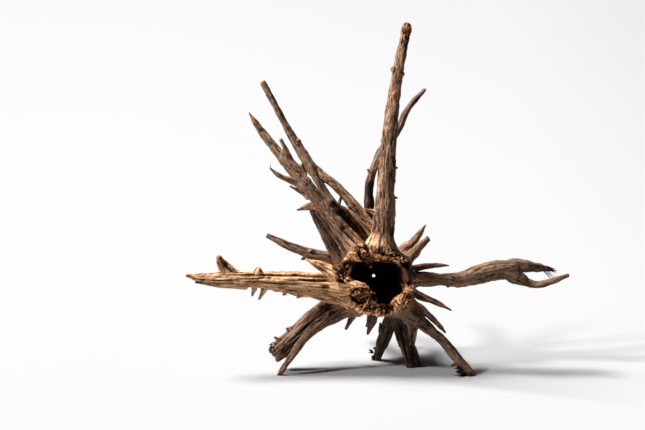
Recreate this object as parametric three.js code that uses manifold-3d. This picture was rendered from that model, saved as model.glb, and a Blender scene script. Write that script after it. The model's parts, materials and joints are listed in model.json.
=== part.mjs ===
// A root stump for an aquarium: the hollow foot of a small tree, lying on its side with its broken
// mouth to the front, and the roots that grew out of it all round. It stands on its lowest roots.
// Millimetres, +Z up, +X to the right and +Y to the back, with the origin on the floor at the
// middle of the object.
import * as THREE from "three";
import Module from "manifold-3d";
import { mergeVertices } from "three/addons/utils/BufferGeometryUtils.js";

const wasm = await Module();
wasm.setup();

const gap = 0.35; // left between pieces that grew together
const toRadians = Math.PI / 180;

// The hollow foot of the trunk.
const hub = {
  mouth: new THREE.Vector3(2, -85, 108), // middle of the broken mouth
  back: new THREE.Vector3(-1, 1, 98), // middle of the small hole at the back
  depth: 86,
  sides: 32,
  // Half-widths of the mouth and of the trunk at the mouth, by angle: 0 is right, 90 is up.
  mouthInside: [[0, 37], [30, 36], [60, 30], [90, 26], [108, 28], [122, 29], [140, 39], [152, 47],
    [164, 40], [171, 31], [178, 12], [190, 10], [225, 11], [240, 15], [252, 22], [266, 25], [292, 29],
    [325, 32]],
  mouthOutside: [[0, 42], [40, 45], [70, 42], [95, 43], [125, 50], [152, 54], [180, 48],
    [210, 44], [235, 42], [270, 38], [300, 40], [328, 41]],
  // Half-widths of the cavity and of the trunk by depth behind the mouth.
  cavity: [[0, 33], [22, 33], [45, 30], [60, 23], [72, 12], [78, 6], [86, 5]],
  trunk: [[0, 41], [14, 41], [40, 41], [55, 39], [68, 33], [78, 24], [86, 13]],
  mouthReach: 24, // depth at which the mouth's own outline has turned into the cavity
  // Profile of the wall, as [share from the inside to the outside, depth].
  profile: [[0.5, 0], [1, 3], [1, 12], [1, 24], [1, 37], [1, 50], [1, 63], [1, 76], [0.5, 86],
    [0, 82], [0, 73], [0, 62], [0, 49], [0, 35], [0, 22], [0, 11], [0, 4], [0.5, 0]],
  // Swellings where the large roots leave, as [angle, depth, height], and how far each spreads.
  swellings: [[92, 26, 7], [130, 24, 7], [164, 36, 4], [186, 26, 6], [218, 34, 7], [252, 46, 2],
    [284, 38, 3], [308, 30, 6], [2, 42, 3], [46, 40, 5], [108, 58, 7], [285, 66, 5]],
  swellingAngle: 20,
  swellingDepth: 26,
  // Waves of the wall, as [height, waves round the trunk, turn per millimetre of depth].
  cavityWave: [1.6, 3, 0.11],
  trunkWave: [1.1, 9, 0.07],
  cavityWaveFrom: 20, // depth at which the cavity's wave has its full height
  narrowFrom: 70, // behind this depth the trunk is narrow and its waves are flatter
  narrowWaves: 0.2,
  // Teeth of the broken rim, as [height, teeth round the rim, phase inside, more phase outside].
  rimTeeth: [[2.2, 5, 1, 0], [1.6, 11, 0, 4]],
  rimTeethReach: 8, // depth at which they have died out
};

// Shallow flutes along a root, as [share of its width, flutes round it, phase by seed, twist].
const flutes = [[0.06, 3, 1, 2.5], [0.03, 5, -2, 4]];
const teethOfBrokenEnd = 4;
const spurSides = 5;

// Every root as a path of [x, y, z, half-width], from inside the trunk to the tip. Its spurs are
// short paths of the same kind that have grown fast to it.
const roots = [
  { name: "tall_root", colour: 0x9a765c, sides: 10, steps: 12, broken: 1.5,
    path: [[5, -58, 128, 17], [5, -66, 150, 15.4], [8, -68, 178, 12.4], [10, -64, 217, 9.8],
      [14, -58, 275, 8.5], [21, -50, 334, 6.8], [26, -46, 364, 6.1], [31, -42, 389, 5.6],
      [34, -40, 407, 4.6]],
    spurs: [
      [[20, -49, 354, 3], [12, -50, 357, 1.3]],
      [[24, -49, 349, 3], [33, -50, 350, 1.2]],
      [[13, -58, 272, 3], [3, -60, 273, 1]],
      [[14, -62, 240, 3], [24, -64, 241, 1]],
      [[13, -64, 206, 3], [24, -66, 206, 1]],
      [[0, -70, 188, 3.4], [-16, -74, 195, 0.9]],
    ] },
  { name: "upper_left_root", colour: 0x8a6a54, sides: 10, steps: 10, broken: 0,
    path: [[-13, -60, 132, 13], [-29, -66, 153, 9], [-58, -64, 187, 7.5], [-79, -58, 214, 7.7],
      [-102, -52, 240, 6.3], [-129, -42, 272, 4], [-151, -34, 303, 0.8]],
    spurs: [
      [[-79, -56, 203, 3.6], [-87, -56, 210, 2.6], [-103, -58, 219, 1]],
      [[-66, -56, 196, 6.6], [-79, -54, 194, 4.4], [-95, -52, 189, 1.2]],
      [[-86, -50, 226, 5], [-90, -46, 244, 2.8]],
    ] },
  { name: "left_root", colour: 0xb08a66, sides: 10, steps: 10, broken: 0,
    path: [[-29, -60, 97, 18], [-52, -67, 99, 15.8], [-70, -71, 102, 13.8], [-97, -73, 105, 12],
      [-137, -77, 110, 9], [-177, -81, 112, 7.4], [-204, -84, 114, 5.2], [-224, -86, 118, 1.6]],
    spurs: [
      [[-166, -80, 112, 7], [-173, -80, 121, 7.2], [-180, -80, 129, 5.2], [-184, -80, 135, 3.6],
        [-186, -80, 140, 2.6]],
      [[-136, -76, 115, 5], [-136, -76, 128, 3.4]],
      [[-143, -78, 102, 3], [-147, -80, 91, 1.2]],
      [[-131, -78, 102, 3.6], [-139, -80, 87, 1.3]],
      [[-107, -76, 95, 3], [-111, -78, 92, 1]],
      [[-80, -76, 95, 3.6], [-95, -78, 89, 1.2]],
      [[-150, -81, 105, 5], [-182, -84, 107, 4], [-213, -87, 110, 1.2]],
    ] },
  { name: "right_root", colour: 0x7c6250, sides: 10, steps: 11, broken: 0,
    path: [[24, -50, 108, 12], [55, -50, 106, 9], [77, -52, 106, 7], [99, -53, 106, 8.9],
      [125, -56, 114, 11.1], [144, -58, 118, 11.7], [160, -60, 119, 11.5], [171, -60, 117, 8.4]],
    spurs: [[[86, -54, 101, 3], [84, -55, 96, 1.2]]] },
  { name: "right_root_upper_fork", colour: 0x6e5646, sides: 8, steps: 6, broken: 1.5,
    path: [[158, -58, 124, 8.2], [174, -57, 123, 7.2], [188, -56, 121, 6], [201, -55, 120, 4.2],
      [209, -54, 118, 2]],
    spurs: [] },
  { name: "right_root_lower_fork", colour: 0x7c6250, sides: 8, steps: 9, broken: 0,
    path: [[157, -62, 114, 8], [168, -62, 109, 6.8], [178, -64, 104, 4.9], [190, -66, 102, 4.2],
      [207, -68, 107, 3.6], [226, -70, 115, 2.2]],
    spurs: [] },
  { name: "thick_lower_root", colour: 0x76604f, sides: 10, steps: 8, broken: 3,
    path: [[-24, -48, 83, 18], [-46, -52, 73, 15], [-71, -58, 59, 12.5], [-90, -64, 43, 11],
      [-108, -70, 28, 10.8], [-121, -74, 18, 9.2]],
    spurs: [
      [[-99, -66, 48, 3.6], [-108, -66, 49, 1.4]],
      [[-112, -70, 35, 3.8], [-122, -70, 40, 1.3]],
    ] },
  { name: "left_leg", colour: 0x76604f, sides: 9, steps: 9, broken: 0, onFloor: true,
    path: [[-20, -54, 78, 13], [-40, -60, 70, 9.6], [-65, -70, 57, 7], [-86, -79, 41, 5.4],
      [-98, -88, 24, 4.6], [-110, -93, 8, 3.4], [-117, -95, -4, 2.6]],
    spurs: [] },
  { name: "right_leg", colour: 0x7a5f4e, sides: 10, steps: 9, broken: 0, onFloor: true,
    path: [[24, -58, 82, 17], [41, -62, 65, 12.4], [59, -70, 52, 7.5], [78, -78, 37, 5.4],
      [94, -87, 19, 5.3], [114, -94, -4, 4.4]],
    spurs: [
      [[96, -88, 14, 3.4], [86, -91, 10, 1]],
      [[103, -90, 7, 3.8], [92, -93, 3, 1.1]],
    ] },
  { name: "right_leg_stub", colour: 0x7a5f4e, sides: 8, steps: 4, broken: 1.5,
    path: [[38, -58, 66, 7], [43, -60, 52, 6.2], [41, -58, 28, 4.8]], spurs: [] },
  { name: "middle_leg", colour: 0x5c4738, sides: 9, steps: 6, broken: 0, onFloor: true,
    path: [[20, -48, 82, 11], [26, -53, 60, 8.8], [34, -57, 30, 6.8], [42, -60, -4, 5]],
    spurs: [[[30, -52, 48, 5], [41, -54, 22, 5.6], [49, -56, -4, 5.2]]] },
  { name: "rear_left_leg", colour: 0x5c4738, sides: 8, steps: 7, broken: 0, onFloor: true,
    path: [[19, -36, 80, 10], [17, -33, 52, 7], [11, -30, 29, 6.8], [5, -28, 11, 5.4],
      [0, -26, -4, 4.2]],
    spurs: [
      [[13, -31, 36, 4], [8, -31, 40, 3], [5, -31, 47, 0.8]],
      [[6, -28, 14, 3], [-3, -28, 15, 1]],
    ] },
  { name: "rear_leg", colour: 0x5c4738, sides: 8, steps: 8, broken: 0, onFloor: true,
    path: [[12, -18, 82, 11], [22, 0, 50, 7.4], [31, 18, 24, 6], [38, 38, -4, 5]], spurs: [] },
  { name: "shoulder_root", colour: 0x80665a, sides: 8, steps: 9, broken: 1,
    path: [[-29, -46, 120, 10], [-48, -44, 128, 8], [-76, -38, 133, 6.2], [-103, -30, 141, 5],
      [-131, -22, 153, 2.9]],
    spurs: [[[-80, -38, 131, 3.6], [-90, -40, 127, 1.2]]] },
  { name: "rim_splinter", colour: 0xb08a66, sides: 8, steps: 6, broken: 0,
    path: [[-36, -72, 108, 9.4], [-50, -77, 117, 7.6], [-66, -74, 126, 5], [-84, -71, 134, 1]],
    spurs: [] },
  { name: "inner_strand", colour: 0x74594a, sides: 7, steps: 6, broken: 0,
    path: [[-29, -54, 127, 9], [-41, -54, 149, 5.2], [-56, -52, 167, 3.8], [-72, -54, 191, 4.2]],
    spurs: [] },
  { name: "outer_strand", colour: 0x74594a, sides: 7, steps: 6, broken: 0,
    path: [[-40, -50, 122, 8], [-52, -48, 142, 6], [-66, -46, 168, 4.4], [-77, -52, 194, 4.4]],
    spurs: [] },
  { name: "side_twig", colour: 0x80665a, sides: 7, steps: 6, broken: 0,
    path: [[-82, -56, 215, 4.4], [-98, -58, 224, 3.6], [-114, -60, 231, 2.9],
      [-126, -62, 241, 0.8]],
    spurs: [] },
  { name: "flaked_prong", colour: 0x80665a, sides: 7, steps: 4, broken: 0,
    path: [[-92, -50, 233, 5], [-103, -46, 252, 3], [-115, -42, 274, 1]], spurs: [] },
  { name: "long_upper_root", colour: 0x74594a, sides: 8, steps: 8, broken: 0.6,
    path: [[-70, -4, 220, 5.6], [-79, 0, 234, 6.6], [-95, 10, 259, 5.4], [-109, 18, 282, 4],
      [-123, 26, 307, 3.5], [-137, 34, 332, 3.2]],
    spurs: [
      [[-127, 29, 318, 2.6], [-132, 28, 316, 1.2]],
      [[-94, 10, 262, 4], [-92, 10, 270, 1.6]],
    ] },
  { name: "upper_right_branch", colour: 0x8a6a54, sides: 9, steps: 10, broken: 0,
    path: [[2, -34, 155, 11], [-18, -26, 178, 7], [-37, -16, 200, 5.3], [-51, -8, 213, 5.1],
      [-66, -3, 224, 5.3], [-77, 0, 234, 4.8]],
    spurs: [] },
  { name: "upper_left_branch", colour: 0x6a5242, sides: 7, steps: 8, broken: 0,
    path: [[-8, -32, 170, 4], [-35, -25, 183, 3.6], [-46, -20, 188, 3.6], [-56, -14, 197, 4.2],
      [-67, -8, 213, 5], [-76, -2, 229, 4.5]],
    spurs: [[[-46, -20, 187, 2], [-40, -14, 203, 1.6]]] },
  { name: "tangle_root", colour: 0x4a3a30, sides: 8, steps: 6, broken: 1,
    path: [[-12, -44, 146, 9], [-30, -40, 166, 6.6], [-44, -38, 182, 5.4], [-56, -36, 195, 2.6]],
    spurs: [] },
  { name: "pale_twig", colour: 0xb49a86, sides: 7, steps: 5, broken: 0.6,
    path: [[-3, -44, 146, 4.4], [-13, -42, 158, 3.6], [-27, -34, 172, 3.2], [-35, -30, 184, 1.8]],
    spurs: [] },
  { name: "slim_back_root", colour: 0x66503f, sides: 8, steps: 12, broken: 0.6,
    path: [[2, -30, 140, 9.5], [-7, -24, 179, 5.6], [-8, -20, 211, 5.2], [-4, -16, 229, 4.8],
      [8, -6, 256, 4.4], [26, 2, 276, 4.2], [36, 8, 298, 3.8], [46, 14, 311, 3.4],
      [60, 20, 325, 2.2]],
    spurs: [[[-4, -17, 226, 3.2], [-11, -18, 233, 1.1]]] },
  { name: "upper_right_stub", colour: 0x8a6a54, sides: 8, steps: 5, broken: 1.2,
    path: [[22, -50, 116, 11], [42, -52, 135, 6.6], [50, -54, 145, 4.8], [61, -56, 156, 3.2]],
    spurs: [] },
  { name: "upper_right_spur", colour: 0x66503f, sides: 8, steps: 6, broken: 0,
    path: [[20, -42, 124, 10], [34, -41, 139, 6.4], [44, -40, 149, 3.7], [51, -38, 158, 3],
      [59, -36, 169, 0.8]],
    spurs: [] },
  { name: "right_twig", colour: 0x74594a, sides: 7, steps: 6, broken: 0,
    path: [[30, -38, 110, 7], [52, -37, 117, 3.9], [67, -36, 119, 3], [77, -34, 119, 2.2],
      [88, -32, 118, 0.8]],
    spurs: [] },
  { name: "lower_right_spur_upper", colour: 0x5c4738, sides: 8, steps: 5, broken: 0,
    path: [[28, -50, 98, 9], [50, -50, 86, 5], [68, -52, 79, 3.5], [90, -55, 68, 1]],
    spurs: [] },
  { name: "lower_right_spur_lower", colour: 0x5c4738, sides: 8, steps: 6, broken: 0,
    path: [[28, -52, 85, 9], [49, -54, 73, 5], [64, -56, 61, 3.6], [75, -57, 50, 2.5],
      [83, -58, 41, 1]],
    spurs: [] },
  { name: "bottom_spur_left", colour: 0x5c4738, sides: 7, steps: 4, broken: 0,
    path: [[-15, -42, 82, 8], [-26, -42, 62, 4.4], [-37, -40, 41, 1.7]], spurs: [] },
  { name: "bottom_spur_middle", colour: 0x66503f, sides: 8, steps: 4, broken: 0,
    path: [[-2, -42, 80, 9], [-4, -42, 56, 5], [-10, -42, 35, 1.5]],
    spurs: [[[-5, -41, 62, 4], [-12, -40, 44, 1]]] },
  { name: "back_root", colour: 0x74594a, sides: 9, steps: 7, broken: 1.5,
    path: [[-8, -28, 120, 13], [-22, 16, 142, 9], [-34, 58, 152, 6.6], [-40, 96, 150, 4]],
    spurs: [[[-28, 40, 148, 4.6], [-24, 52, 162, 1.4]]] },
  { name: "back_stub_left", colour: 0x66503f, sides: 9, steps: 6, broken: 2,
    path: [[-8, -22, 90, 14], [-17, 14, 82, 9.5], [-24, 42, 72, 7.5], [-29, 72, 62, 5]],
    spurs: [] },
  { name: "back_stub_right", colour: 0x66503f, sides: 9, steps: 4, broken: 2,
    path: [[12, -24, 108, 13], [22, 14, 110, 8.6], [29, 44, 106, 6]], spurs: [] },
];

// Value at x between the listed [x, value] pairs, eased from one pair to the next.
function eased(pairs, x) {
  let i = 1;
  while (i < pairs.length - 1 && pairs[i][0] < x) i += 1;
  const [x0, v0] = pairs[i - 1];
  const [x1, v1] = pairs[i];
  const share = THREE.MathUtils.smoothstep(x, x0, x1);
  return v0 + (v1 - v0) * share;
}

// The same for a table of angles that closes on itself.
function easedAround(pairs, degrees) {
  const turn = 360;
  const angle = THREE.MathUtils.euclideanModulo(degrees, turn);
  return eased([...pairs, [turn, pairs[0][1]]], angle);
}

// A closed geometry as a solid that can be cut and joined.
function solidOf(geometry) {
  const bare = geometry.clone();
  bare.deleteAttribute("normal");
  bare.deleteAttribute("uv");
  const merged = mergeVertices(bare, 1e-3);
  return new wasm.Manifold(new wasm.Mesh({
    numProp: 3,
    vertProperties: merged.attributes.position.array,
    triVerts: new Uint32Array(merged.index.array),
  }));
}

// The other way: a solid as a geometry with flat faces.
function geometryOf(solid) {
  const mesh = solid.getMesh();
  const geometry = new THREE.BufferGeometry();
  geometry.setAttribute("position", new THREE.BufferAttribute(mesh.vertProperties, 3));
  geometry.setIndex(new THREE.BufferAttribute(mesh.triVerts, 1));
  const flat = geometry.toNonIndexed();
  flat.computeVertexNormals();
  return flat;
}

// Moves every vertex of a geometry to where place(x, y, z, target) puts it.
function reshape(geometry, place) {
  const position = geometry.attributes.position;
  const target = new THREE.Vector3();
  for (let i = 0; i < position.count; i += 1) {
    place(position.getX(i), position.getY(i), position.getZ(i), target);
    position.setXYZ(i, target.x, target.y, target.z);
  }
  return geometry;
}

// Height of the hub's swellings at an angle and a depth: a round hump around each one's middle.
function swellingAt(degrees, depth) {
  let height = 0;
  for (const [middle, at, size] of hub.swellings) {
    const across = THREE.MathUtils.euclideanModulo(degrees - middle + 180, 360) - 180;
    const away = Math.hypot(across / hub.swellingAngle, (depth - at) / hub.swellingDepth);
    height = Math.max(height, size * Math.exp(-away * away));
  }
  return height;
}

// Height of one wave of the wall at an angle and a depth.
function waveAt([height, count, turn], angle, depth) {
  const flattened = depth < hub.narrowFrom ? 1 : hub.narrowWaves;
  return height * flattened * Math.sin(count * angle + turn * depth);
}

// Radius of the hub at an angle and a depth, at a share of the way from the cavity to the outside.
function hubRadius(angle, depth, share, grow) {
  const degrees = angle / toRadians;
  const atMouth = 1 - THREE.MathUtils.smoothstep(depth, 0, hub.mouthReach);
  const mouthIn = easedAround(hub.mouthInside, degrees);
  const mouthOut = easedAround(hub.mouthOutside, degrees);
  const inside = THREE.MathUtils.lerp(eased(hub.cavity, depth), mouthIn, atMouth)
    + waveAt(hub.cavityWave, angle, depth) * Math.min(1, depth / hub.cavityWaveFrom);
  const outside = THREE.MathUtils.lerp(eased(hub.trunk, depth), mouthOut, atMouth)
    + swellingAt(degrees, depth) + waveAt(hub.trunkWave, angle, depth);
  return inside - grow + share * (outside - inside + 2 * grow);
}

// Turns a profile of [share, depth] round the hub's axis. The shares of the hub's own profile run
// from 0 at the cavity to 1 outside. A plug that fills the cavity has its own radius shares, with
// 0 on the axis and 1 in the middle of the wall. A grown hub is longer too, at both its ends.
function turnHub(profile, isPlug, grow) {
  const endReach = 2;
  const middleOfWall = 0.5;
  const turned = new THREE.LatheGeometry(
    profile.map(([share, depth]) => new THREE.Vector2(isPlug ? share : 1 + share, depth)),
    hub.sides,
  );
  const axis = hub.back.clone().sub(hub.mouth);
  return solidOf(reshape(turned, (x, depth, z, target) => {
    const angle = Math.atan2(z, x);
    const out = Math.hypot(x, z);
    const share = isPlug ? middleOfWall : out - 1;
    const radius = hubRadius(angle, depth, share, grow) * (isPlug ? out : 1);
    let along = depth;
    for (const [height, count, phase, more] of hub.rimTeeth) {
      const fading = Math.max(0, 1 - depth / hub.rimTeethReach) * Math.min(1, out);
      along += height * fading * Math.sin(count * angle + phase + more * share);
    }
    if (depth < endReach) along -= grow;
    if (depth > hub.depth - endReach) along += grow;
    target.copy(hub.mouth).addScaledVector(axis, along / hub.depth);
    target.x += radius * Math.cos(angle);
    target.z += radius * Math.sin(angle);
  }));
}

// A rod bent along a smooth curve through the path's points. Its half-width follows the path's,
// with shallow flutes along it, and a broken end is jagged by the given depth.
function makeRod(path, sides, steps, { broken = 0, grow = 0, seed = 0 } = {}) {
  const curve = new THREE.CatmullRomCurve3(
    path.map(([x, y, z]) => new THREE.Vector3(x, y, z)), false, "centripetal");
  const frames = curve.computeFrenetFrames(steps);
  const widths = path.map(([, , , width], i) => [i, width]);
  return reshape(new THREE.CylinderGeometry(1, 1, 1, sides, steps), (x, y, z, target) => {
    const step = Math.round((0.5 - y) * steps);
    const share = step / steps;
    const angle = Math.atan2(z, x);
    const width = eased(widths, curve.getUtoTmapping(share) * (path.length - 1));
    const out = Math.hypot(x, z);
    let fluted = width;
    for (const [height, count, phase, twist] of flutes) {
      fluted += width * height * Math.sin(count * angle + phase * seed + twist * share);
    }
    const radius = out * (fluted + grow);
    curve.getPointAt(share, target);
    target.addScaledVector(frames.normals[step], radius * Math.cos(angle));
    target.addScaledVector(frames.binormals[step], radius * Math.sin(angle));
    if (step === steps) {
      const tooth = broken * out * Math.sin(teethOfBrokenEnd * angle + seed);
      target.addScaledVector(frames.tangents[step], tooth + grow);
    }
  });
}

// A root with its spurs, as one solid. A spur has a step for each of its points and between them.
function makeRoot({ path, sides, steps, spurs, broken }, seed, grow = 0) {
  let solid = solidOf(makeRod(path, sides, steps, { broken, grow, seed }));
  for (const spur of spurs) {
    const spurSteps = 2 * spur.length - 3;
    solid = solid.add(solidOf(makeRod(spur, spurSides, spurSteps, { grow, seed })));
  }
  return solid;
}

// The largest of the bodies that a solid has come apart into.
function largestBody(solid) {
  const bodies = solid.decompose();
  return bodies.reduce((best, body) => (body.volume() > best.volume() ? body : best));
}

function namedMesh(name, solid, colour) {
  const material = new THREE.MeshStandardMaterial({ color: colour, roughness: 0.85, metalness: 0 });
  const mesh = new THREE.Mesh(geometryOf(solid), material);
  mesh.name = name;
  return mesh;
}

// What lies under the floor is cut off, which leaves a small flat under each foot.
const floorSize = 700;
const floor = solidOf(new THREE.BoxGeometry(floorSize, floorSize, floorSize)
  .translate(0, 0, -floorSize / 2));

const stump = new THREE.Group();
stump.add(namedMesh("stump_hub", turnHub(hub.profile, false, 0), 0xa9825f));

// Each root is cut where it meets the hub and the roots before it. The plug keeps it out of the
// cavity, from just behind the rim to just before the back hole.
const plug = [[0, 4], [1, 4], [1, 20], [1, 40], [1, 60], [1, 72], [1, 84], [0, 84]];
const before = [turnHub(hub.profile, false, gap).add(turnHub(plug, true, 0))];
roots.forEach((root, index) => {
  let solid = makeRoot(root, index);
  for (const other of before) solid = solid.subtract(other);
  if (root.onFloor) solid = solid.subtract(floor);
  stump.add(namedMesh(root.name, largestBody(solid), root.colour));
  before.push(makeRoot(root, index, gap));
});

export default stump;
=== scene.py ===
import json
import math

import bpy
import numpy as np
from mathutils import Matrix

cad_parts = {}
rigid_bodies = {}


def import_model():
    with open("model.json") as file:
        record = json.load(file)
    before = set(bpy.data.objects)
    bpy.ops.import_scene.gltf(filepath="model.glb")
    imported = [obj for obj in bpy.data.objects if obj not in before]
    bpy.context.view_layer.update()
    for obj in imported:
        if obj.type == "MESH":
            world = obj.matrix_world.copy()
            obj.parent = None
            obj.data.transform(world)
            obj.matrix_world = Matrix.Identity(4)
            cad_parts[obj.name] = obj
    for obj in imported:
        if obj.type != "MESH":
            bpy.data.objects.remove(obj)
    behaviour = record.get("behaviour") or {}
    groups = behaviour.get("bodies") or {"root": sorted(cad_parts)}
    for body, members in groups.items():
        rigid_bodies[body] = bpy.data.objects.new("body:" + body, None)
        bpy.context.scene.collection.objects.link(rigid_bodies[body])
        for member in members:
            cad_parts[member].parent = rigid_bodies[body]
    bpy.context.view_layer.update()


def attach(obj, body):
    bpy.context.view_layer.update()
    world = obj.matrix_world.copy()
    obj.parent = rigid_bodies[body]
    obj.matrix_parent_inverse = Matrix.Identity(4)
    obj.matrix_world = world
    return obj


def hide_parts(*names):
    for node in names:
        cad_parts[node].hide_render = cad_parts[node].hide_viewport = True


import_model()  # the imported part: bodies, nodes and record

# An aquarium root stump. Lengths are millimetres, as on the part, until a mesh is written in metres.
metres = 0.001


# Numbers that every shape uses


# Eases from 0 to 1: three times the square less twice the cube.
def ease(t):
    t = np.clip(t, 0, 1)
    return t * t * (3 - 2 * t)


# Value at x between listed [x, value] pairs, eased from one pair to the next.
def eased(pairs, x):
    knots = np.array(pairs, float)
    i = np.clip(np.searchsorted(knots[:, 0], x), 1, len(knots) - 1)
    share = ease((x - knots[i - 1, 0]) / (knots[i, 0] - knots[i - 1, 0]))
    return knots[i - 1, 1] + share * (knots[i, 1] - knots[i - 1, 1])


# The same round a circle: after the last pair the first one comes again.
def easedAround(pairs, degrees):
    return eased([*pairs, [360, pairs[0][1]]], np.mod(degrees, 360))


# Degrees from one direction to others, the short way round.
def degreesFrom(middle, degrees):
    return np.mod(degrees - middle + 180, 360) - 180


# A random number from 0 to 1 for each whole-numbered cell: its numbers are multiplied by large
# primes, mixed, and the high bits are folded back into the low ones.
def cellRandom(cell, seed):
    n = cell[..., 0] * 73856093 ^ cell[..., 1] * 19349663 ^ cell[..., 2] * 83492791 ^ seed * 2654435761
    n = (n ^ (n >> 13)) * 1274126177
    n = n ^ (n >> 16)
    return (n & 0xFFFFFF) / 0xFFFFFF


# Soft noise from 0 to 1: the random numbers of the eight cells round a point, eased between them.
def softNoise(p, seed):
    low = np.floor(p).astype(np.int64)
    share = ease(p - low)
    total = np.zeros(p.shape[:-1])
    for corner in np.ndindex(2, 2, 2):
        weight = np.prod(np.where(corner, share, 1 - share), axis=-1)
        total += weight * cellRandom(low + corner, seed)
    return total


# Crumb noise: one point is scattered in each cell. Gives the distances to the nearest and to the
# second nearest point, and the nearest one's own random number.
def crumbNoise(p, seed):
    low = np.floor(p).astype(np.int64)
    near = np.full(p.shape[:-1], 9.0)
    second = near.copy()
    own = np.zeros(p.shape[:-1])
    for corner in np.ndindex(3, 3, 3):
        cell = low + corner - 1
        spot = cell + np.stack([cellRandom(cell, seed + k) for k in range(3)], -1)
        away = np.linalg.norm(spot - p, axis=-1)
        second = np.minimum(second, np.maximum(near, away))
        own = np.where(away < near, cellRandom(cell, seed + 3), own)
        near = np.minimum(near, away)
    return near, second, own


grooves = dict(
    round=1.3, apart=5.3,  # steps of the noise round the rod and from one groove to the next
    closed=0.3, opens=3,  # share of a groove that is closed, and how fast it opens
)


# Grooves along a rod between ridges of wood: the angle times half the number of ridges, pushed to
# and fro by noise, gives a phase that is a whole number of half turns at each groove. A groove opens
# and closes along the rod. Gives the depth of the grooves from 0 to 1 and each ridge's own number
# from 0 to 1.
def ridges(turned, s, count, wander, length, opening, sharp, seed):
    width = grooves["round"]
    place = np.stack([np.cos(turned) * width, np.sin(turned) * width, s / length], -1)
    phase = count * turned / 2 + math.pi * wander * (softNoise(place, seed) - 0.5)
    number = np.mod(np.round(phase / math.pi), count)
    place = np.stack([number * grooves["apart"], s / opening, 0 * s], -1)
    isOpen = ease((softNoise(place, seed + 1) - grooves["closed"]) * grooves["opens"])
    line = (1 - np.abs(np.sin(phase))) ** sharp
    ridge = np.mod(np.floor(phase / math.pi), count).astype(np.int64)
    own = cellRandom(np.stack([ridge, 0 * ridge, 0 * ridge], -1), seed + 2)
    return line * isOpen, own


# Materials from nodes


# Adds a node with its settings and links or values for its inputs.
def addNode(tree, kind, settings, inputs):
    node = tree.nodes.new(kind)
    for key, value in settings.items():
        setattr(node, key, value)
    for key, value in inputs.items():
        if isinstance(value, bpy.types.NodeSocket):
            tree.links.new(value, node.inputs[key])
        else:
            node.inputs[key].default_value = value
    return node


def newMaterial(name, shine):
    material = bpy.data.materials.new(name)
    material.use_nodes = True
    shader = material.node_tree.nodes["Principled BSDF"]
    shader.inputs["Specular IOR Level"].default_value = shine
    return material, material.node_tree, shader


def readValue(tree, name, output):
    return addNode(tree, "ShaderNodeAttribute", {"attribute_name": name}, {}).outputs[output]


def readPlace(tree):
    return addNode(tree, "ShaderNodeTexCoord", {}, {}).outputs["Object"]


def noiseOf(tree, vector, scale, detail):
    node = addNode(tree, "ShaderNodeTexNoise", {}, {"Vector": vector, "Scale": scale, "Detail": detail})
    return node.outputs["Fac"]


def mathOf(tree, operation, a, b):
    return addNode(tree, "ShaderNodeMath", {"operation": operation}, {0: a, 1: b}).outputs[0]


def rangeOf(tree, value, low, high, outLow=0.0, outHigh=1.0):
    inputs = {"Value": value, "From Min": low, "From Max": high, "To Min": outLow, "To Max": outHigh}
    return addNode(tree, "ShaderNodeMapRange", {}, inputs).outputs["Result"]


def mixOf(tree, share, a, b):
    inputs = {0: share, 6: a, 7: b}
    return addNode(tree, "ShaderNodeMix", {"data_type": "RGBA"}, inputs).outputs[2]


def splitOf(tree, vector):
    return addNode(tree, "ShaderNodeSeparateXYZ", {}, {0: vector}).outputs


# Camera, floor and lights

studio = dict(
    cameraPlace=(-64.2, -1820.3, 495.0),
    cameraTilt=80.0,  # degrees up from straight down
    lens=85.0,
    sensor=36.0,
    viewEnd=20.0,  # metres
    floorFront=-480.0,
    floorBack=600.0,  # where the floor starts to curve up into the backdrop
    floorCurve=2200.0,
    floorCurveSteps=24,
    floorWide=1760.0,
    floorLeft=(0.319, 0.318, 0.325),  # a little darker where the lights are near
    floorRight=(0.384, 0.383, 0.393),
    floorFade=(-0.8, 0.35),  # metres along x, from the left colour to the right one
    floorRoughness=0.9,
    floorShine=0.1,
    lightsAim=(0, -40, 140),
    worldColour=(0.93, 0.95, 1.0),
    worldStrength=0.02,
)

# Each light shines at the middle of the stump: the way to it, its distance, side and watts.
lights = [
    dict(name="keyLight", towards=(-1.25, -0.34, 1.0), distance=8000, side=720, watts=618,
         colour=(1, 0.985, 0.96)),
    dict(name="topLight", towards=(-0.55, 0.22, 1.0), distance=8000, side=2200, watts=1583,
         colour=(1, 0.99, 0.98)),
]


def addObject(name, data):
    thing = bpy.data.objects.new(name, data)
    bpy.context.scene.collection.objects.link(thing)
    return thing


def makeCamera():
    data = bpy.data.cameras.new("camera")
    data.lens = studio["lens"]
    data.sensor_width = studio["sensor"]
    data.clip_end = studio["viewEnd"]
    camera = addObject("camera", data)
    camera.location = [v * metres for v in studio["cameraPlace"]]
    camera.rotation_euler = (math.radians(studio["cameraTilt"]), 0, 0)
    bpy.context.scene.camera = camera


def makeFloorPaint():
    paint, tree, shader = newMaterial("paleFloor", studio["floorShine"])
    shader.inputs["Roughness"].default_value = studio["floorRoughness"]
    share = rangeOf(tree, splitOf(tree, readPlace(tree))["X"], *studio["floorFade"])
    colour = mixOf(tree, share, (*studio["floorLeft"], 1), (*studio["floorRight"], 1))
    tree.links.new(colour, shader.inputs["Base Color"])
    return paint


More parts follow.
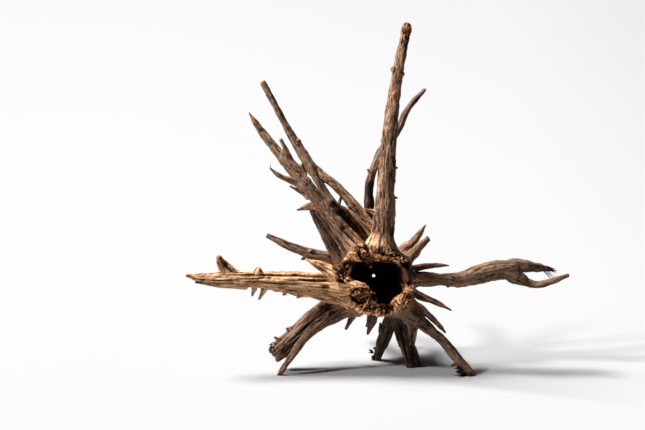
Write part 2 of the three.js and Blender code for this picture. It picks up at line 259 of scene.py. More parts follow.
# The floor is a flat sheet that curves up behind the stump through an eighth of a circle.
def makeFloor():
    bend = np.linspace(0, math.pi / 4, studio["floorCurveSteps"])
    curveY = studio["floorBack"] + studio["floorCurve"] * np.sin(bend)
    y = np.concatenate([[studio["floorFront"]], curveY])
    z = np.concatenate([[0], studio["floorCurve"] * (1 - np.cos(bend))])
    half = studio["floorWide"] / 2
    points = np.stack([np.stack([np.full_like(y, side), y, z], -1) for side in (-half, half)], 1)
    faces = [(2 * i, 2 * i + 1, 2 * i + 3, 2 * i + 2) for i in range(len(y) - 1)]
    mesh = bpy.data.meshes.new("floor")
    mesh.from_pydata((points.reshape(-1, 3) * metres).tolist(), [], faces)
    mesh.polygons.foreach_set("use_smooth", [True] * len(faces))
    mesh.materials.append(makeFloorPaint())
    addObject("floor", mesh)


# A light shines along its own -Z, so it is tipped back by its angle from straight up, then turned.
def lightTurn(way):
    return (math.acos(way[2]), 0, math.atan2(way[1], way[0]) + math.pi / 2)


def makeLights():
    for light in lights:
        way = np.array(light["towards"]) / np.linalg.norm(light["towards"])
        data = bpy.data.lights.new(light["name"], "AREA")
        data.shape = "SQUARE"
        data.size = light["side"] * metres
        data.energy = light["watts"]
        data.color = light["colour"]
        lamp = addObject(light["name"], data)
        lamp.location = (np.array(studio["lightsAim"]) + way * light["distance"]) * metres
        lamp.rotation_euler = lightTurn(way)
    world = bpy.data.worlds.new("studioWorld")
    world.use_nodes = True
    background = world.node_tree.nodes["Background"]
    background.inputs["Color"].default_value = (*studio["worldColour"], 1)
    background.inputs["Strength"].default_value = studio["worldStrength"]
    bpy.context.scene.world = world
    bpy.context.scene.view_settings.view_transform = "Standard"


makeCamera()
makeFloor()
makeLights()
print("camera, floor and lights made")


# Finishes

woodLooks = dict(
    weathered_root=dict(
        deep=(0.016, 0.006, 0.003), dark=(0.085, 0.042, 0.023),
        middle=(0.255, 0.137, 0.080), light=(0.470, 0.285, 0.180),
        patch=(0.300, 0.190, 0.130), patchShare=0.4, bump=0.6,
    ),
    bare_wood=dict(
        deep=(0.020, 0.007, 0.002), dark=(0.140, 0.064, 0.028),
        middle=(0.400, 0.214, 0.108), light=(0.680, 0.430, 0.240),
        patch=(0.520, 0.280, 0.130), patchShare=0.45, bump=0.5,
    ),
    dark_root=dict(
        deep=(0.008, 0.003, 0.002), dark=(0.045, 0.022, 0.013),
        middle=(0.150, 0.083, 0.051), light=(0.310, 0.190, 0.125),
        patch=(0.130, 0.085, 0.062), patchShare=0.4, bump=0.7,
    ),
    hub_wood=dict(
        deep=(0.016, 0.004, 0.001), dark=(0.108, 0.035, 0.011),
        middle=(0.360, 0.168, 0.082), light=(0.640, 0.400, 0.245),
        patch=(0.430, 0.200, 0.080), patchShare=0.4, bump=0.7,
    ),
)
# Stains of the wood. The near black of rot also paints the shade that falls into the cavity, cracks,
# slits, gaps and grooves.
stainAndShadeColours = dict(rust=(0.330, 0.118, 0.034), bleach=(0.720, 0.435, 0.225), rot=(0.006, 0.002, 0.001))

# What all the woods share. A range is where a value starts and ends to work.
woodLayers = dict(
    toneScale=1.2,  # how bright all the wood is
    reliefShare=0.68,
    noiseRange=(0.3, 0.7),
    # Noises that move the colour along its ramp: what they follow, scale, detail, and how far they
    # move it down and up. The grain is in millimetres and the place in metres.
    noises=dict(fibre=("grain", 0.50, 3, -0.31, 0.29), streak=("grain", 0.17, 2, -0.17, 0.17),
                speck=("place", 420, 2, -0.12, 0.12)),
    rampStops=dict(deep=0.04, dark=0.27, middle=0.58, light=0.92),
    patches=(34, 2), patchRange=(0.48, 0.66),
    pores=(760, 1), poreRange=(0.62, 0.70), poreShare=0.8,
    mottle=(0.8, 1.2, 0.55, 1.0),  # from this sum of fibre and speck to that, the stain's share
    stainRange=(0.18, 0.5),  # rust and bleach keep to the raised wood
    roughness=(0.1, 0.8, 0.95, 0.72),
    shine=0.25,
    bumpSpeck=0.6, bumpHeight=0.0006,
)
finishes = {}


# Wood: the relief and noises choose a colour from deep to light. The relief holds painted shade in the
# hollows of the grain. Patches, pores and the stains of the shape go over it, among them the near black
# of rot and painted shade, and the tone scales it.
def makeWood(slot, look):
    layers = woodLayers
    material, tree, shader = newMaterial(slot, layers["shine"])
    relief = readValue(tree, "relief", "Fac")
    follows = dict(grain=readValue(tree, "grain", "Vector"), place=readPlace(tree))
    noises = {}
    share = mathOf(tree, "MULTIPLY", relief, layers["reliefShare"])
    for name, (space, scale, detail, down, up) in layers["noises"].items():
        noises[name] = noiseOf(tree, follows[space], scale, detail)
        share = mathOf(tree, "ADD", share, rangeOf(tree, noises[name], *layers["noiseRange"], down, up))
    ramp = addNode(tree, "ShaderNodeValToRGB", {}, {"Fac": share})
    stops = ramp.color_ramp.elements
    stops[0].position, stops[1].position = layers["rampStops"]["deep"], layers["rampStops"]["light"]
    for key in ("dark", "middle"):
        stops.new(layers["rampStops"][key])
    for stop, key in zip(stops, layers["rampStops"]):
        stop.color = (*look[key], 1)
    patches = noiseOf(tree, follows["place"], *layers["patches"])
    patches = rangeOf(tree, patches, *layers["patchRange"], 0.0, look["patchShare"])
    patches = mathOf(tree, "MULTIPLY", patches, relief)
    colour = mixOf(tree, patches, ramp.outputs["Color"], (*look["patch"], 1))
    pores = noiseOf(tree, follows["place"], *layers["pores"])
    pores = rangeOf(tree, pores, *layers["poreRange"], 0.0, layers["poreShare"])
    colour = mixOf(tree, pores, colour, (*look["deep"], 1))
    stainAndShade = splitOf(tree, readValue(tree, "stainAndShade", "Vector"))
    mottle = rangeOf(tree, mathOf(tree, "ADD", noises["fibre"], noises["speck"]), *layers["mottle"])
    raised = mathOf(tree, "MULTIPLY", mottle, rangeOf(tree, share, *layers["stainRange"]))
    for axis, key in enumerate(stainAndShadeColours):
        amount = mathOf(tree, "MULTIPLY", stainAndShade[axis], raised if key != "rot" else 1.0)
        colour = mixOf(tree, amount, colour, (*stainAndShadeColours[key], 1))
    tone = mathOf(tree, "MULTIPLY", readValue(tree, "tone", "Fac"), layers["toneScale"])
    toned = addNode(tree, "ShaderNodeVectorMath", {"operation": "SCALE"}, {0: colour, "Scale": tone})
    tree.links.new(toned.outputs[0], shader.inputs["Base Color"])
    tree.links.new(rangeOf(tree, share, *layers["roughness"]), shader.inputs["Roughness"])
    height = mathOf(tree, "MULTIPLY", noises["speck"], layers["bumpSpeck"])
    height = mathOf(tree, "ADD", noises["fibre"], height)
    inputs = {"Strength": look["bump"], "Distance": layers["bumpHeight"], "Height": height}
    bump = addNode(tree, "ShaderNodeBump", {}, inputs)
    tree.links.new(bump.outputs["Normal"], shader.inputs["Normal"])
    return material


for slot, look in woodLooks.items():
    finishes[slot] = makeWood(slot, look)
print("finishes made")


# Meshes


# Normals of a grid of points from the differences to their neighbours. It closes on itself both ways.
def gridNormals(points):
    across = np.roll(points, -1, 1) - np.roll(points, 1, 1)
    down = np.roll(points, -1, 0) - np.roll(points, 1, 0)
    normal = np.cross(across, down)
    return normal / np.maximum(np.linalg.norm(normal, axis=-1, keepdims=True), 1e-9)


# The faces of a grid of rows and columns, with the last column joined to the first.
def gridFaces(rows, columns, rowsClose=False):
    i = np.arange(rows if rowsClose else rows - 1)[:, None]
    j = np.arange(columns)[None, :]
    nextRow = (i + 1) % rows
    nextColumn = (j + 1) % columns
    corners = [i * columns + j, i * columns + nextColumn]
    corners += [nextRow * columns + nextColumn, nextRow * columns + j]
    return np.stack([np.broadcast_to(c, (len(i), columns)) for c in corners], -1).reshape(-1, 4)


# Grows shapes together: points, quads, triangles and the values that the finishes read.
def joined(shapes):
    result = {}
    start = 0
    for shape in shapes:
        for key, values in shape.items():
            offset = start if key in ("quads", "triangles") else 0
            result.setdefault(key, []).append(values + offset)
        start += len(shape["points"])
    return {key: np.concatenate(values) for key, values in result.items()}


# Writes a shape as a mesh object in metres, with its values as attributes.
def makePiece(name, shape, slot, node):
    mesh = bpy.data.meshes.new(name)
    quads, triangles = shape["quads"], shape["triangles"]
    corners = np.concatenate([quads.ravel(), triangles.ravel()]).astype(np.int32)
    sizes = np.concatenate([np.full(len(quads), 4), np.full(len(triangles), 3)])
    mesh.vertices.add(len(shape["points"]))
    mesh.vertices.foreach_set("co", (shape["points"] * metres).astype(np.float32).ravel())
    mesh.loops.add(len(corners))
    mesh.loops.foreach_set("vertex_index", corners)
    mesh.polygons.add(len(sizes))
    mesh.polygons.foreach_set("loop_start", (np.cumsum(sizes) - sizes).astype(np.int32))
    mesh.polygons.foreach_set("use_smooth", np.ones(len(sizes), bool))
    mesh.update(calc_edges=True)
    for key in ("grain", "stainAndShade"):
        layer = mesh.attributes.new(key, "FLOAT_VECTOR", "POINT")
        layer.data.foreach_set("vector", shape[key].astype(np.float32).ravel())
    for key in ("relief", "tone"):
        layer = mesh.attributes.new(key, "FLOAT", "POINT")
        layer.data.foreach_set("value", shape[key].astype(np.float32).ravel())
    mesh.materials.append(finishes[slot])
    piece = addObject(name, mesh)
    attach(piece, "root")
    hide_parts(node)


# The hollow foot of the trunk

hub = dict(
    mouth=(2, -85, 108), back=(-2, 1, 99), depth=86, tone=2.0,
    # Half-widths of the mouth and of the trunk at the mouth, by angle: 0 is right, 90 is up.
    mouthInside=[[0, 37], [30, 36], [60, 30], [90, 26], [108, 28], [122, 29], [140, 39], [152, 47],
                 [164, 40], [171, 31], [178, 12], [190, 9.5], [215, 7.5], [236, 8.5], [250, 9.5],
                 [258, 15], [266, 25], [292, 29], [325, 32]],
    mouthOutside=[[0, 42], [40, 45], [70, 42], [95, 43], [125, 50], [152, 54], [180, 48],
                  [210, 44], [235, 42], [270, 38], [300, 40], [328, 41]],
    # The columns are spread evenly along the outline at this share of the wall, measured in steps.
    outlineShare=0.25, outlineSteps=1441,
    # Half-widths of the cavity and of the trunk by depth behind the mouth.
    cavity=[[0, 33], [22, 33], [45, 30], [60, 23], [70, 9], [78, 2.3], [86, 1.0]],
    trunk=[[0, 41], [14, 41], [40, 41], [55, 39], [68, 33], [78, 24], [86, 13]],
    mouthReach=24,
    # Swellings where the large roots leave, as [angle, depth, height], and how far each spreads.
    swellings=[[92, 26, 7], [130, 24, 7], [164, 36, 4], [186, 26, 6], [218, 34, 7], [252, 46, 2],
               [284, 38, 3], [308, 30, 6], [2, 42, 3], [46, 40, 5], [108, 58, 7], [285, 66, 5]],
    swellingAngle=20, swellingDepth=26,
    # Ledges of the cavity's wall, as [angle, depth, height, how far round, how far deep].
    ledges=[[117, 10, 11, 10, 7], [4, 26, 7, 27, 15], [-44, 12, 5, 17, 8], [72, 9, 5, 24, 4.5],
            [-112, 16, 7, 12, 9]],
    cavityWave=(1.6, 3, 0.11), trunkWave=(1.1, 9, 0.07),  # height, waves round, turn by depth
    cavityWaveFrom=20, narrowFrom=70, narrowWaves=0.2,
    # By angle: where across the wall the rim stands out furthest, from 0 inside to 1 outside, and how
    # deep the roundings outside and inside of it reach.
    crest=[[0, 0.5], [60, 0.5], [95, 0.3], [112, 0.12], [166, 0.12], [182, 0.4], [245, 0.4], [262, 0.5]],
    outerRound=[[0, 6], [70, 8], [108, 15], [166, 15], [184, 9], [250, 7]],
    innerRound=[[0, 7], [100, 6], [140, 8], [184, 7], [245, 8], [262, 5]],
    backRound=4,
    columns=440, outerRows=76, rimRows=62, innerRows=46, backRows=10,
    rimTeeth=[(2.2, 5, 1, 0), (1.6, 11, 0, 4)],  # height, teeth round, phase inside, more outside
    rimRough=[(3.2, (7, 7, 2), 11), (2.4, (16, 16, 4), 12)],  # height, steps of the noise, seed
    rimTeethReach=8,
    smoothLip=(138, 26),  # the upper left of the rim is smoother: its angle, and how far round
)
hubMouth = np.array(hub["mouth"], float)
hubAxis = np.array(hub["back"], float) - hub["mouth"]


# Height of a wave of the wall at an angle and a depth.
def hubWave(wave, angle, depth):
    flattened = np.where(depth < hub["narrowFrom"], 1, hub["narrowWaves"])
    return wave[0] * flattened * np.sin(wave[1] * angle + wave[2] * depth)


# Radius of the hub at an angle and a depth, from the cavity (share 0) to the outside (share 1). The
# mouth's own outline turns into the round one within the mouth's reach. Swellings and ledges are
# bells: one over e to the power of the squares of the angle and the depth from their middle.
def hubRadius(angle, depth, share):
    degrees = np.degrees(angle)
    atMouth = 1 - ease(depth / hub["mouthReach"])

    def bell(middle, at, aside, deep):
        return np.exp(-(degreesFrom(middle, degrees) / aside) ** 2 - ((depth - at) / deep) ** 2)

    swelling = 0
    for middle, at, size in hub["swellings"]:
        away = bell(middle, at, hub["swellingAngle"], hub["swellingDepth"])
        swelling = np.maximum(swelling, size * away)
    cavity, trunk = eased(hub["cavity"], depth), eased(hub["trunk"], depth)
    inside = cavity + atMouth * (easedAround(hub["mouthInside"], degrees) - cavity)
    waving = np.clip(depth / hub["cavityWaveFrom"], 0, 1)
    inside = inside + hubWave(hub["cavityWave"], angle, depth) * waving
    for middle, at, size, aside, deep in hub["ledges"]:
        inside = inside - size * bell(middle, at, aside, deep)
    outside = trunk + atMouth * (easedAround(hub["mouthOutside"], degrees) - trunk)
    outside = outside + swelling + hubWave(hub["trunkWave"], angle, depth)
    return inside + share * (outside - inside)


# A point on the hub: its axis runs from the mouth to the back hole, and the radius stands across it
# in the plane of the mouth.
def hubPoint(angle, depth, radius):
    centre = hubMouth + depth[..., None] / hub["depth"] * hubAxis
    return centre + radius[..., None] * np.stack([np.cos(angle), 0 * angle, np.sin(angle)], -1)


# The other way: angle, depth and radius of a point.
def hubPlace(points):
    depth = (points[..., 1] - hubMouth[1]) / hubAxis[1] * hub["depth"]
    across = points - (hubMouth + depth[..., None] / hub["depth"] * hubAxis)
    return np.arctan2(across[..., 2], across[..., 0]), depth, np.hypot(across[..., 0], across[..., 2])


# A mark on the wood, seen from the front: an oval at x and z, with its half-length and half-width,
# turned by degrees. Inside it the wood is pushed back by mm, crumbles, takes the stains rust and bleach
# and the near black of rot and painted shade, or is kept clear of the painted shade of the cavity.
def mark(x, z, long, wide, turn=0, **kinds):
    return dict(x=x, z=z, long=long, wide=wide, turn=math.radians(turn), kinds=kinds)


markKinds = ("push", "crumb", "rust", "bleach", "rot", "clean")
markEdge = dict(reach=1.35, fade=0.7, ragged=0.35, raggedStep=3.0)  # in sizes of the oval, the step in mm


# How far places lie inside an oval: 1 in its middle, eased to 0 a little outside it.
def insideOval(oval, x, z, ragged=0):
    c, s = math.cos(oval["turn"]), math.sin(oval["turn"])
    dx, dz = x - oval["x"], z - oval["z"]
    along = (dx * c + dz * s) / oval["long"]
    across = (dz * c - dx * s) / oval["wide"]
    return ease((markEdge["reach"] - np.hypot(along, across) + ragged) / markEdge["fade"])


# Marks on the broken front, by x and z from the middle of the mouth. Their rot is partly rotten wood
# and partly painted shade: it paints the shade in the cracks, slits, gaps, notches, holes, hollows,
# pockets and pits, and the dim light on the tan wall at the right.
mouthMarks = [
    mark(-15, 41, 7, 1.5, -62, push=12, rot=1),  # crack at the top
    mark(-14, 27, 8.2, 7.6, push=9, crumb=1, rust=0.5, rot=0.25),  # rotten wood below the crack
    mark(-11, 21, 7, 9, crumb=0.4, rust=0.6, rot=0.1, clean=1),  # wood that hangs below the crack
    mark(17, 22, 9, 6, -10, rust=0.5, rot=0.2, clean=1),  # inner wall at the top right
    mark(-20, 39, 4.4, 4.4, crumb=0.3, rust=0.5, rot=0.45),  # reddish wood between the slits
    mark(-22, 31, 5.8, 1.3, -66, push=8, rot=0.9),  # slit left of the crack
    mark(7, 34, 11.1, 1.8, -11, push=12, rot=1),  # slit above the ledge
    mark(6, 29, 11.7, 3, -8, push=4, rust=0.5, bleach=0.35, clean=0.9),  # ledge
    mark(8, 24, 12.9, 1.9, -4, push=9, rust=0.2, rot=0.7),  # under the ledge
    mark(6, 40, 11.7, 4.7, -10, push=-1, crumb=0.75, rust=0.55, bleach=0.25),  # orange wood above the slit
    mark(23, 31, 9.4, 5.8, -38, push=-1, crumb=0.9, rust=0.2, bleach=0.25),  # chunks at the upper right
    mark(30, 22, 5.3, 4.7, push=14, rot=1),  # notch at the upper right
    mark(42, 14, 4.2, 15.2, crumb=1.1, rot=0.4),  # right rim
    # The rot here paints the dim light on the tan wall.
    mark(33, 6, 4.7, 11.7, -8, rust=0.6, rot=1.6, clean=0.6),  # tan wall at the right
    mark(36, -3, 3.5, 2.8, push=10, rot=1),  # hole at the right
    mark(27, -14, 9.4, 6.4, 55, crumb=0.5, bleach=0.3, clean=0.9),  # golden wood at the lower right
    mark(26, -24, 4.1, 1.2, 30, push=6, rot=1),  # slit at the lower right
    mark(31, -26, 10.5, 5.3, 48, crumb=1),  # outer crumbs at the lower right
    mark(6, -24, 10.5, 1.9, 4, push=-1, rust=0.2, bleach=0.55),  # golden edge at the bottom
    mark(5, -30, 11.7, 3, 3, push=5, crumb=1, rust=0.2, rot=0.3),  # dark band at the bottom
    mark(8, -35, 11.7, 3, 6, crumb=0.9, bleach=0.4),  # crumbs at the bottom
    mark(-15, -26, 9.4, 8.2, -30, push=1, crumb=1.1, rust=0.2),  # crumbs at the lower left
    mark(-25, -32, 5.8, 1.6, -28, push=-1, bleach=0.6),  # pale edge at the lower left
    mark(-29, -20, 7, 1.5, -45, push=8, rot=1),  # gap under the lump
    mark(-3, -7, 3.4, 4.6, rust=0.4, rot=0.35, clean=1),  # dim edge of the lump
    mark(-5, -17, 4.8, 4.6, push=10, rot=1),  # gap below the lump's end
    mark(-18, 0, 14, 3.2, -4, push=-4, rust=0.3, bleach=0.95, clean=1),  # shelf of the lump
    mark(-27, -9, 7, 7, push=1, crumb=0.75, rust=0.45, bleach=0.4),  # honeycomb of the lump
    mark(-11, -8, 6.4, 9.4, push=-2, crumb=0.2, rust=0.5, bleach=0.5, clean=1),  # round end of the lump
    mark(-45, 12, 6.4, 9.4, 15, push=2, crumb=1.1),  # pits at the left
    mark(-44, 2, 5.3, 1.9, -25, push=7, rot=1),  # hollow at the left
    mark(-37, 8, 2.1, 9.4, -28, push=-2, bleach=0.75, clean=1),  # golden edge at the left
    mark(-38, 19, 2.6, 2.3, push=-3, bleach=0.9, clean=1),  # pale chip at the left
    mark(-32, 28, 10.5, 1.9, rust=0.55, clean=1),  # lower lip of the lobes
    mark(-27, 41, 16.4, 10.5, -30, push=-3, crumb=0.35, bleach=0.25, rot=0.1),  # lobes at the upper left
    mark(-9, 50, 5.8, 9.4, 8, bleach=0.2),  # pale wood at the top
    mark(-35, 22, 9.4, 5.8, rot=1),  # pocket at the upper left
    mark(-22, 57, 4.7, 4.1, push=3, rot=0.6),  # knot above the lobes
    mark(-18, 49, 2.9, 1.6, -45, push=4, rot=1),  # pit above the crack
    mark(-40, 48, 8.2, 1.1, -38, push=3, rot=0.9),  # groove left of the lobes
    mark(-52, 18, 2.3, 3.5, push=4, rot=0.8),  # pits beside the splinter
]


# How strongly each kind of the mouth's marks works at some places. The ovals' edges are ragged.
def marksAt(points):
    x = points[..., 0] - hub["mouth"][0]
    z = points[..., 2] - hub["mouth"][2]
    ragged = markEdge["ragged"] * (softNoise(points / markEdge["raggedStep"], 71) - 0.5)
    amounts = {kind: np.zeros(x.shape) for kind in markKinds}
    for oval in mouthMarks:
        inside = insideOval(oval, x, z, ragged)
        for kind in markKinds:
            amounts[kind] = amounts[kind] + inside * oval["kinds"].get(kind, 0)
    return amounts


# Angles round the mouth at even steps along its inner outline.
def evenAngles(count):
    fine = np.linspace(0, 2 * math.pi, hub["outlineSteps"])
    radius = hubRadius(fine, 0 * fine, hub["outlineShare"] + 0 * fine)
    outline = np.stack([radius * np.cos(fine), radius * np.sin(fine)], -1)
    length = np.concatenate([[0], np.cumsum(np.linalg.norm(np.diff(outline, axis=0), axis=1))])
    return np.interp(np.arange(count) / count * length[-1], length, fine)


crumbs = dict(
    step=(3.9, 5.2, 3.9), fineStep=(2.1, 3.0, 2.1),  # mm from pit to pit, to the right, back and up
    thinness=2.6, fineThinness=2.4,  # of the walls between pits
    lift=1.4, pitDepth=2.6, finePitDepth=1.3, pitDark=0.75, finePitDark=0.5,
    # A crumb's own random number makes it rotten below the first of these, rusty between the next two
    # and pale above the others, and this is how strong each stain is.
    rotten=0.45, rusty=(0.48, 0.9), pale=0.84, paleFlake=0.86,
    rust=0.75, bleach=0.8, rot=0.82,
    rotEdge=6, rustEdge=(6, 9), bleachEdge=12,  # how sharply each stain ends at its number
)


# Crumbling wood: pits between thin walls, at two sizes. Gives the push along the normal, how much the
# relief keeps, which paints shade into the pits, and the stains.
def crumble(points, amount):
    near, second, own = crumbNoise(points / crumbs["step"], 31)
    fineNear, fineSecond, flakeOwn = crumbNoise(points / crumbs["fineStep"], 35)
    pits = ease((second - near) * crumbs["thinness"])
    finePits = ease((fineSecond - fineNear) * crumbs["fineThinness"])
    share = np.clip(amount, 0, 1)
    (rustLow, rustHigh), (lowEdge, highEdge) = crumbs["rusty"], crumbs["rustEdge"]
    rust = ease((own - rustLow) * lowEdge) * ease((rustHigh - own) * highEdge) * crumbs["rust"]
    bleach = ease((own - crumbs["pale"]) * crumbs["bleachEdge"])
    bleach = bleach + ease((flakeOwn - crumbs["paleFlake"]) * crumbs["bleachEdge"])
    rot = ease((crumbs["rotten"] - own) * crumbs["rotEdge"]) * crumbs["rot"]
    push = amount * (crumbs["lift"] - crumbs["pitDepth"] * pits - crumbs["finePitDepth"] * finePits)
    kept = 1 - share * (crumbs["pitDark"] * pits + crumbs["finePitDark"] * finePits)
    return push, kept, np.stack([rust, bleach * crumbs["bleach"], rot], -1) * share[..., None]


# The wood of the hub. Each layer of grain has its height in mm and how much it darkens the wood: that
# paints shade into the grooves and light onto the raised fibres and bumps.
hubWood = dict(
    grooves=(44, 2.4, 40, 30, 3.0, 21),  # how many, wander, length, opening, sharpness, seed
    fineGrooves=(120, 3.0, 24, 16, 2.4, 24),
    fibres=(48, 9), lumpStep=13, bumpStep=3.4, pitStep=3.4,
    heights=(-1.3, -0.7, 0.8, 1.0),  # of grooves, fine grooves, fibres and bumps
    darks=(0.65, 0.4, -0.8, -0.5),
    lumpHeight=2.4, cavityLumps=1.6, lumpDark=0.35,
    pitEdge=(0.26, 0.12), pitShare=0.4, pitDepth=0.6, pitDark=0.6,
    frontReach=10, outsidePush=0.3,  # how far back the marks reach, and how much they push outside
    lipRough=0.8, lipWoody=0.75,  # what the smooth lip takes off the rough rim and the grain
    rimCrumb=0.2, mostCrumb=1.2,
    brightest=0.95,
    # Depth where the painted shade of the cavity starts and over how much it grows, each with what the
    # smooth lip adds.
    cavityShadeFrom=(4, -4), cavityShadeOver=(16, -10),
    cleanDepth=26, stainOutside=16, stainInside=30,  # how deep unshaded marks and stains reach
    mostStain=(0.95, 0.95, 1),
    grain=(40, 7, -5),  # round, along, and what the smooth lip adds to that
)


# The hub's grid closes both ways: rows run along the outside to the front, over the rim, back
# through the cavity and out round the back hole, and columns run round the axis.
def layHub():
    angle = evenAngles(hub["columns"])[None, :]
    crest, outerRound, innerRound = (easedAround(hub[key], np.degrees(angle))
                                     for key in ("crest", "outerRound", "innerRound"))
    end = hub["depth"] - hub["backRound"]
    outer = end + (outerRound - end) * np.linspace(0, 1, hub["outerRows"])[:, None]
    inner = innerRound + (end - innerRound) * np.linspace(0, 1, hub["innerRows"])[:, None]
    turn = np.linspace(0, math.pi, hub["rimRows"] + 2)[1:-1, None]
    rimShare = crest + np.where(turn < math.pi / 2, 1 - crest, crest) * np.cos(turn)
    rimDepth = np.where(turn < math.pi / 2, outerRound, innerRound) * (1 - np.sin(turn))
    backTurn = np.linspace(0, math.pi, hub["backRows"] + 2)[1:-1, None]
    backDepth = hub["depth"] - hub["backRound"] * (1 - np.sin(backTurn)) + 0 * angle
    share = np.vstack([1 + 0 * outer, rimShare, 0 * inner, 0.5 - 0.5 * np.cos(backTurn) + 0 * angle])
    depth = np.vstack([outer, rimDepth, inner, backDepth])
    isRim = np.zeros(share.shape, bool)
    isRim[hub["outerRows"]:hub["outerRows"] + hub["rimRows"]] = True
    return angle + 0 * share, depth, share, isRim


# The stains of the hub: those of its marks and crumbs, and the painted shade of the cavity, which is
# eased in with the depth. Unshaded marks keep it off.
def hubStainAndShade(marks, crumbStain, front, isInside, depth, smoothLip):
    wood = hubWood
    cavityShadeFrom, cavityShadeOver = (at + more * smoothLip for at, more in (wood["cavityShadeFrom"], wood["cavityShadeOver"]))
    cavityShade = np.where(isInside, ease((depth - cavityShadeFrom) / cavityShadeOver), 0)
    cavityShade = cavityShade * (1 - np.clip(marks["clean"], 0, 1) * (depth < wood["cleanDepth"]))
    stainAndShade = crumbStain + np.stack([marks["rust"], marks["bleach"], marks["rot"] * front + cavityShade], -1)
    stainAndShade = np.clip(stainAndShade, 0, wood["mostStain"])
    isStained = (isInside | (depth < wood["stainOutside"])) & (depth < wood["stainInside"])
    stainAndShade[..., :2] *= isStained[..., None]
    stainAndShade[..., 1] *= 1 - stainAndShade[..., 2]
    return stainAndShade


# The hub: teeth and noise make the rim ragged, and the marks push it. Grooves run along the trunk
# and over the rim, pits and crumbs go over them, and the cavity has soft lumps.
def makeHub():
    wood = hubWood
    angle, depth, share, isRim = layHub()
    lipAt, lipSpread = hub["smoothLip"]
    smoothLip = np.exp(-(degreesFrom(lipAt, np.degrees(angle)) / lipSpread) ** 2)
    teeth = np.clip(1 - depth / hub["rimTeethReach"], 0, 1)
    along = depth.copy()
    for height, count, phase, more in hub["rimTeeth"]:
        along += height * teeth * np.sin(count * angle + phase + more * share)
    ring = np.stack([np.cos(angle), np.sin(angle), share], -1)
    rough = teeth * (1 - wood["lipRough"] * smoothLip)
    for height, steps, seed in hub["rimRough"]:
        along += rough * height * (softNoise(ring * steps, seed) - 0.5)
    radius = hubRadius(angle, depth, share)
    points = hubPoint(angle, along, radius)
    marks = marksAt(points)
    isInside = ~isRim & (share < 0.5)
    front = np.where(isRim, 1, np.exp(-(depth / wood["frontReach"]) ** 2))
    points[..., 1] += front * marks["push"] * np.where(isInside | isRim, 1, wood["outsidePush"])

    normal = gridNormals(points)
    run = depth + np.where(share > 0, hubRadius(angle, depth, 1.0 + 0 * share) - radius, 0)
    fibresRound, fibreLength = wood["fibres"]
    place = np.stack([np.cos(angle) * fibresRound, np.sin(angle) * fibresRound, run / fibreLength], -1)
    lumps = softNoise(points / wood["lumpStep"], 23) - 0.5
    layers = (ridges(angle, run, *wood["grooves"])[0], ridges(angle, run, *wood["fineGrooves"])[0],
              softNoise(place, 27) - 0.5, softNoise(points / wood["bumpStep"], 25) - 0.5)
    crumb = np.clip(marks["crumb"] + wood["rimCrumb"] * (1 - smoothLip) * isRim, 0, wood["mostCrumb"])
    crumbPush, crumbRelief, crumbStain = crumble(points, front * crumb)
    woody = np.where(isInside, 0, 1) * (1 - np.clip(marks["crumb"], 0, 1))
    woody = woody * (1 - wood["lipWoody"] * smoothLip)
    push = woody * sum(h * layer for h, layer in zip(wood["heights"], layers))
    push = push + np.where(isInside, 0, wood["lumpHeight"]) * lumps
    push = push + crumbPush + np.where(isInside, 1 - front, 0) * wood["cavityLumps"] * lumps
    points = points + normal * push[..., None]
    near, _, own = crumbNoise(points / wood["pitStep"], 45)
    pits = ease((wood["pitEdge"][0] - near) / wood["pitEdge"][1]) * (own > wood["pitShare"]) * woody
    points = points - normal * wood["pitDepth"] * pits[..., None]

    # The relief paints shade into the pits, grooves and low lumps and light onto the raised fibres and
    # bumps.
    relief = wood["brightest"] - wood["pitDark"] * pits
    relief = relief - woody * sum(dark * layer for dark, layer in zip(wood["darks"], layers))
    relief = np.clip(relief * crumbRelief - wood["lumpDark"] * (0.5 - lumps), 0, 1)
    stainAndShade = hubStainAndShade(marks, crumbStain, front, isInside, depth, smoothLip)
    grainRound, grainLength, atLip = wood["grain"]
    grain = np.stack([np.cos(angle) * grainRound, np.sin(angle) * grainRound,
                      run / (grainLength + atLip * smoothLip)], -1)
    return dict(
        points=points.reshape(-1, 3), quads=gridFaces(*share.shape, True),
        triangles=np.zeros((0, 3), int), grain=grain.reshape(-1, 3), stainAndShade=stainAndShade.reshape(-1, 3),
        relief=relief.ravel(), tone=np.full(share.size, hub["tone"]),
    )


makePiece("stump_hub_wood", makeHub(), "hub_wood", "stump_hub")
print("hub made")


# Roots

# How the grain cuts the wood of a root: millimetres between wide and between fine grooves, how far
# they wander, how long they run and stay open, their depth as a share of the half-width, how sharp
# they are and how dark, lumps as a share of the half-width, fibres in mm, how deep short splits go
# in mm, the twist in radians per mm, and how much shallower the grooves are near the mouth.
woodGrain = dict(
    smooth=dict(wideStep=7, fineStep=2.2, wander=1.6, length=60, opening=20, wideDepth=0.025,
                fineDepth=0.02, sharp=3.6, dark=0.4, lumps=0.12, fibres=0.55, splits=0.4, twist=0.004,
                nearMouth=0.6),
    calm=dict(wideStep=8, fineStep=2.6, wander=1.6, length=60, opening=24, wideDepth=0.09,
              fineDepth=0.05, sharp=3.6, dark=0.8, lumps=0.22, fibres=0.60, splits=0.6, twist=0.004,
              nearMouth=0.75),
    weathered_root=dict(wideStep=8, fineStep=3, wander=1.6, length=55, opening=30, wideDepth=0.17,
                        fineDepth=0.08, sharp=3.4, dark=1, lumps=0.24, fibres=0.55, splits=0.8,
                        twist=0.004, nearMouth=0.7),
    bare_wood=dict(wideStep=5.4, fineStep=2.5, wander=1.2, length=120, opening=90, wideDepth=0.42,
                   fineDepth=0.10, sharp=1.5, dark=1, lumps=0.14, fibres=0.45, splits=0.4,
                   twist=0.0015, nearMouth=0),
    dark_root=dict(wideStep=6, fineStep=2.7, wander=1.4, length=60, opening=50, wideDepth=0.32,
                   fineDepth=0.11, sharp=2.4, dark=1, lumps=0.28, fibres=0.65, splits=0.7, twist=0.003,
                   nearMouth=0.3),
)

